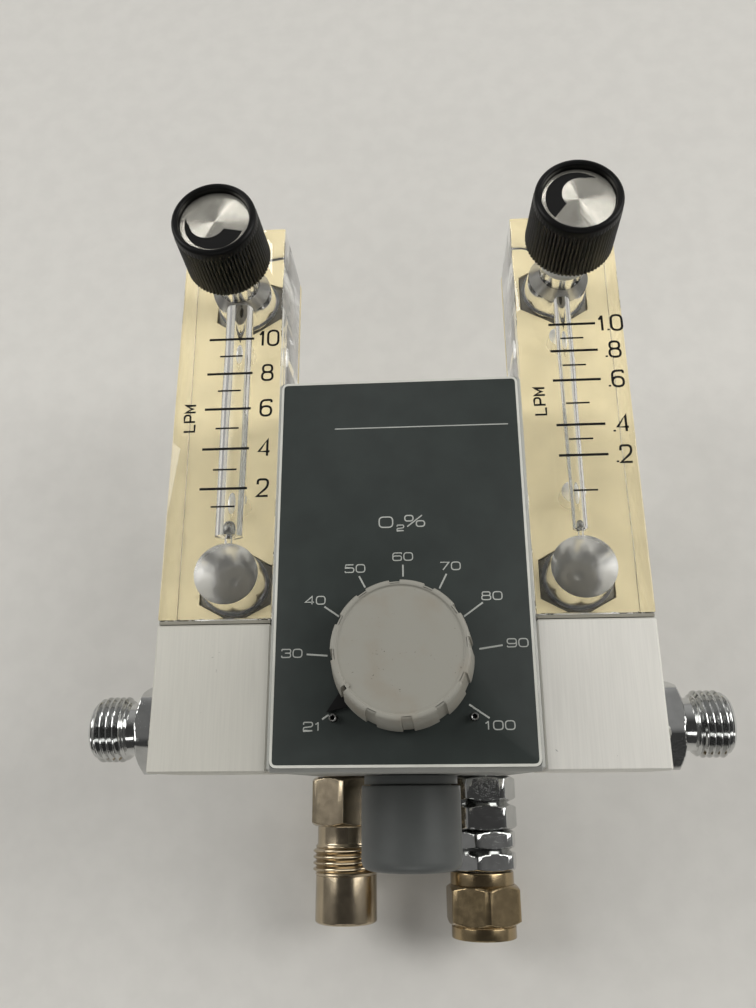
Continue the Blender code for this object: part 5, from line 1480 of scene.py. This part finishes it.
# %% Screws of the side blocks
SOCKET_FLATS = 3.0
SOCKET_LIMIT = 2.0
SOCKET_DEPTH = 2
SOCKET_EDGE = 0.2
HEAD_RADIUS = 3.5
HEAD_LENGTH = 4
SHANK_RADIUS = 2.0


def make_screw(word, number):
    node = f"{word}_manifold_screw_{number}"
    low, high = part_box(node)
    spot = (low + high) / 2
    right = word == "right"
    start = high.x if right else low.x
    inward = "-X" if right else "+X"
    length = (high.x - low.x) / MM
    socket = hexagon(SOCKET_FLATS, SOCKET_LIMIT)
    stations = [(SOCKET_DEPTH, 0), (SOCKET_DEPTH, socket), (SOCKET_EDGE, socket), (0, 1.9)]
    stations += soften([(0, 3.0), (0, HEAD_RADIUS), (HEAD_LENGTH, HEAD_RADIUS), (HEAD_LENGTH, SHANK_RADIUS),
                        (length, SHANK_RADIUS), (length, 0)], 0.3)
    screw = turned(f"{word}_cap_screw_{number}", stations, steel, (start, spot.y, spot.z), inward, 72)
    stands_for(screw, steel, node)


for word in SIDE_WORDS:
    for number in (1, 2):
        make_screw(word, number)

# %% [markdown]
# ## CAD pieces that keep their shape
# The housing, the side blocks, the pointer and what is hidden inside are right as they are, so they
# only get a finish. A CAD object is never moved. Its material slots take the new finish, and that is
# all.

# %% Finishes for the CAD pieces
KEPT = {
    housing_metal: ("main_housing",),
    left_metal: ("left_manifold",),
    right_metal_painted_lighter: ("right_manifold",),
    gasket_grey: ("left_gasket", "right_gasket"),
    rubber: ("balance_diaphragm",),
    pointer_black: ("dial_pointer",),
    brass: ("mixer_bonnet", "mixer_sleeve", "mixer_spool", "balance_spool", "air_check_poppet",
            "oxygen_check_poppet", "alarm_poppet"),
    steel: ("mixer_spindle", "air_check_spring", "oxygen_check_spring", "alarm_spring"),
    bronze: ("air_filter", "oxygen_filter"),
}
for finish, nodes in KEPT.items():
    for node in nodes:
        for slot in frame["nodes"][node].material_slots:
            slot.material = finish.material
    print(finish.material.name, "on", *nodes)

# %% [markdown]
# ## Floor and lamps
# The mixer lies on a plain pale floor. A soft box on each side gives most of the light, a strip in
# front lifts the inlets, and two narrow strips beyond the top give the spun discs their wedges and
# the chrome its bright lines. One big box overhead would be simpler, but its mirror image would lie
# right across the clear blocks.

# %% Floor and lamps
FLOOR_SIZE = 4.0
FLOOR_GAP = 0.2
LAMP_TINT = (1.0, 0.99, 0.965)
floor_mesh = bmesh.new()
bmesh.ops.create_grid(floor_mesh, x_segments=4, y_segments=4, size=FLOOR_SIZE)
floor_finish = satin("floor_paint", "", tint(222, 220, 215), 0.6, grain=0.6, depth=0.02, drift=0.02)
floor = piece_from("floor", floor_mesh, floor_finish, (0, 0, cad_low.z - FLOOR_GAP * MM))
floor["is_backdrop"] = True

AIM = Vector((0, 0, 0.08))
# Name, place and size in metres, and power in watts
LAMPS = (
    ("left_box", (-1.0, 0.3, 0.8), (0.5, 0.9), 6.8),
    ("right_box", (1.0, 0.25, 0.8), (0.5, 0.9), 8.2),
    ("front_strip", (0.0, -0.75, 0.8), (1.2, 0.2), 2.0),
    ("ceiling_left", (-0.14, 1.1, 1.0), (0.06, 0.5), 0.9),
    ("ceiling_right", (0.14, 1.1, 1.0), (0.06, 0.5), 0.9),
)
for name, spot, (wide, long), power in LAMPS:
    lamp = bpy.data.lights.new(name, "AREA")
    lamp.shape = "RECTANGLE"
    lamp.size = wide
    lamp.size_y = long
    lamp.energy = power
    lamp.color = LAMP_TINT
    holder = bpy.data.objects.new(name, lamp)
    holder.location = spot
    holder.rotation_euler = (Vector(spot) - AIM).to_track_quat("Z", "Y").to_euler()
    holder.visible_transmission = False
    bpy.context.scene.collection.objects.link(holder)

print(len(LAMPS), "lamps")

# %% [markdown]
# ## Sky
# Metal is as dark as what it mirrors. A plain grey world would wash it out, so this one is pale
# towards the top end and the two sides and dark in front, which keeps the shaded flats of the chrome
# dark. The same node tools work on the world's own tree.

# %% Sky
SKY_BASE = 0.06
SKY_BACK = 0.4
SKY_SIDES = 0.16
SKY_TINT = (1.0, 0.99, 0.97, 1.0)
BLACK = (0.0, 0.0, 0.0, 1.0)
world = bpy.data.worlds.new("sky")
world.use_nodes = True
bpy.context.scene.world = world


class Sky(Finish):
    """The same node tools on the world's own tree."""

    def __init__(self, tree):
        self.tree = tree
        self.shader = tree.nodes["Background"]


sky = Sky(world.node_tree)
direction = sky.node("ShaderNodeTexCoord", output="Generated")
parts = sky.node("ShaderNodeSeparateXYZ", None, {0: direction}).socket.node.outputs
depth = Value(sky, parts[1])
side = Value(sky, parts[0])
level = depth.step(0.05, 0.9) * SKY_BACK + (side * side).step(0.15, 0.8) * SKY_SIDES + SKY_BASE
sky.feed("Color", sky.mix(level, BLACK, SKY_TINT))
print("the sky is", SKY_BASE, "in front and up to", SKY_BASE + SKY_BACK + SKY_SIDES, "elsewhere")

# %% [markdown]
# ## Camera
# The camera stands above the lower end, where a person leans over the mixer. Aiming it by eye would
# take many tries, so its place, tilt and lens come from a fit of the panel's four corners, worked out
# once and written here.

# %% Camera
SENSOR = 36.0
NEAREST = 0.01
LENS = 29.49
STAND = Vector((5.74, -46.96, 270.2)) * MM
TILT = [math.radians(angle) for angle in (18.782, 3.625, -0.309)]
view = bpy.data.cameras.new("camera")
view.sensor_width = SENSOR
view.lens = LENS
view.clip_start = NEAREST
camera = bpy.data.objects.new("camera", view)
camera.location = STAND
camera.rotation_euler = TILT
bpy.context.scene.collection.objects.link(camera)
bpy.context.scene.camera = camera
bpy.context.scene.view_settings.view_transform = "Standard"
print("camera at", [round(part, 3) for part in STAND])

# %% [markdown]
# ## Size and finish
# The dressed model has to keep the CAD model's size, so both boxes are printed side by side.

# %% Measure and finish
seen_low, seen_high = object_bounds()
for title, span in (("CAD", cad_high - cad_low), ("visual", seen_high - seen_low)):
    print(title, [round(part, 4) for part in span])
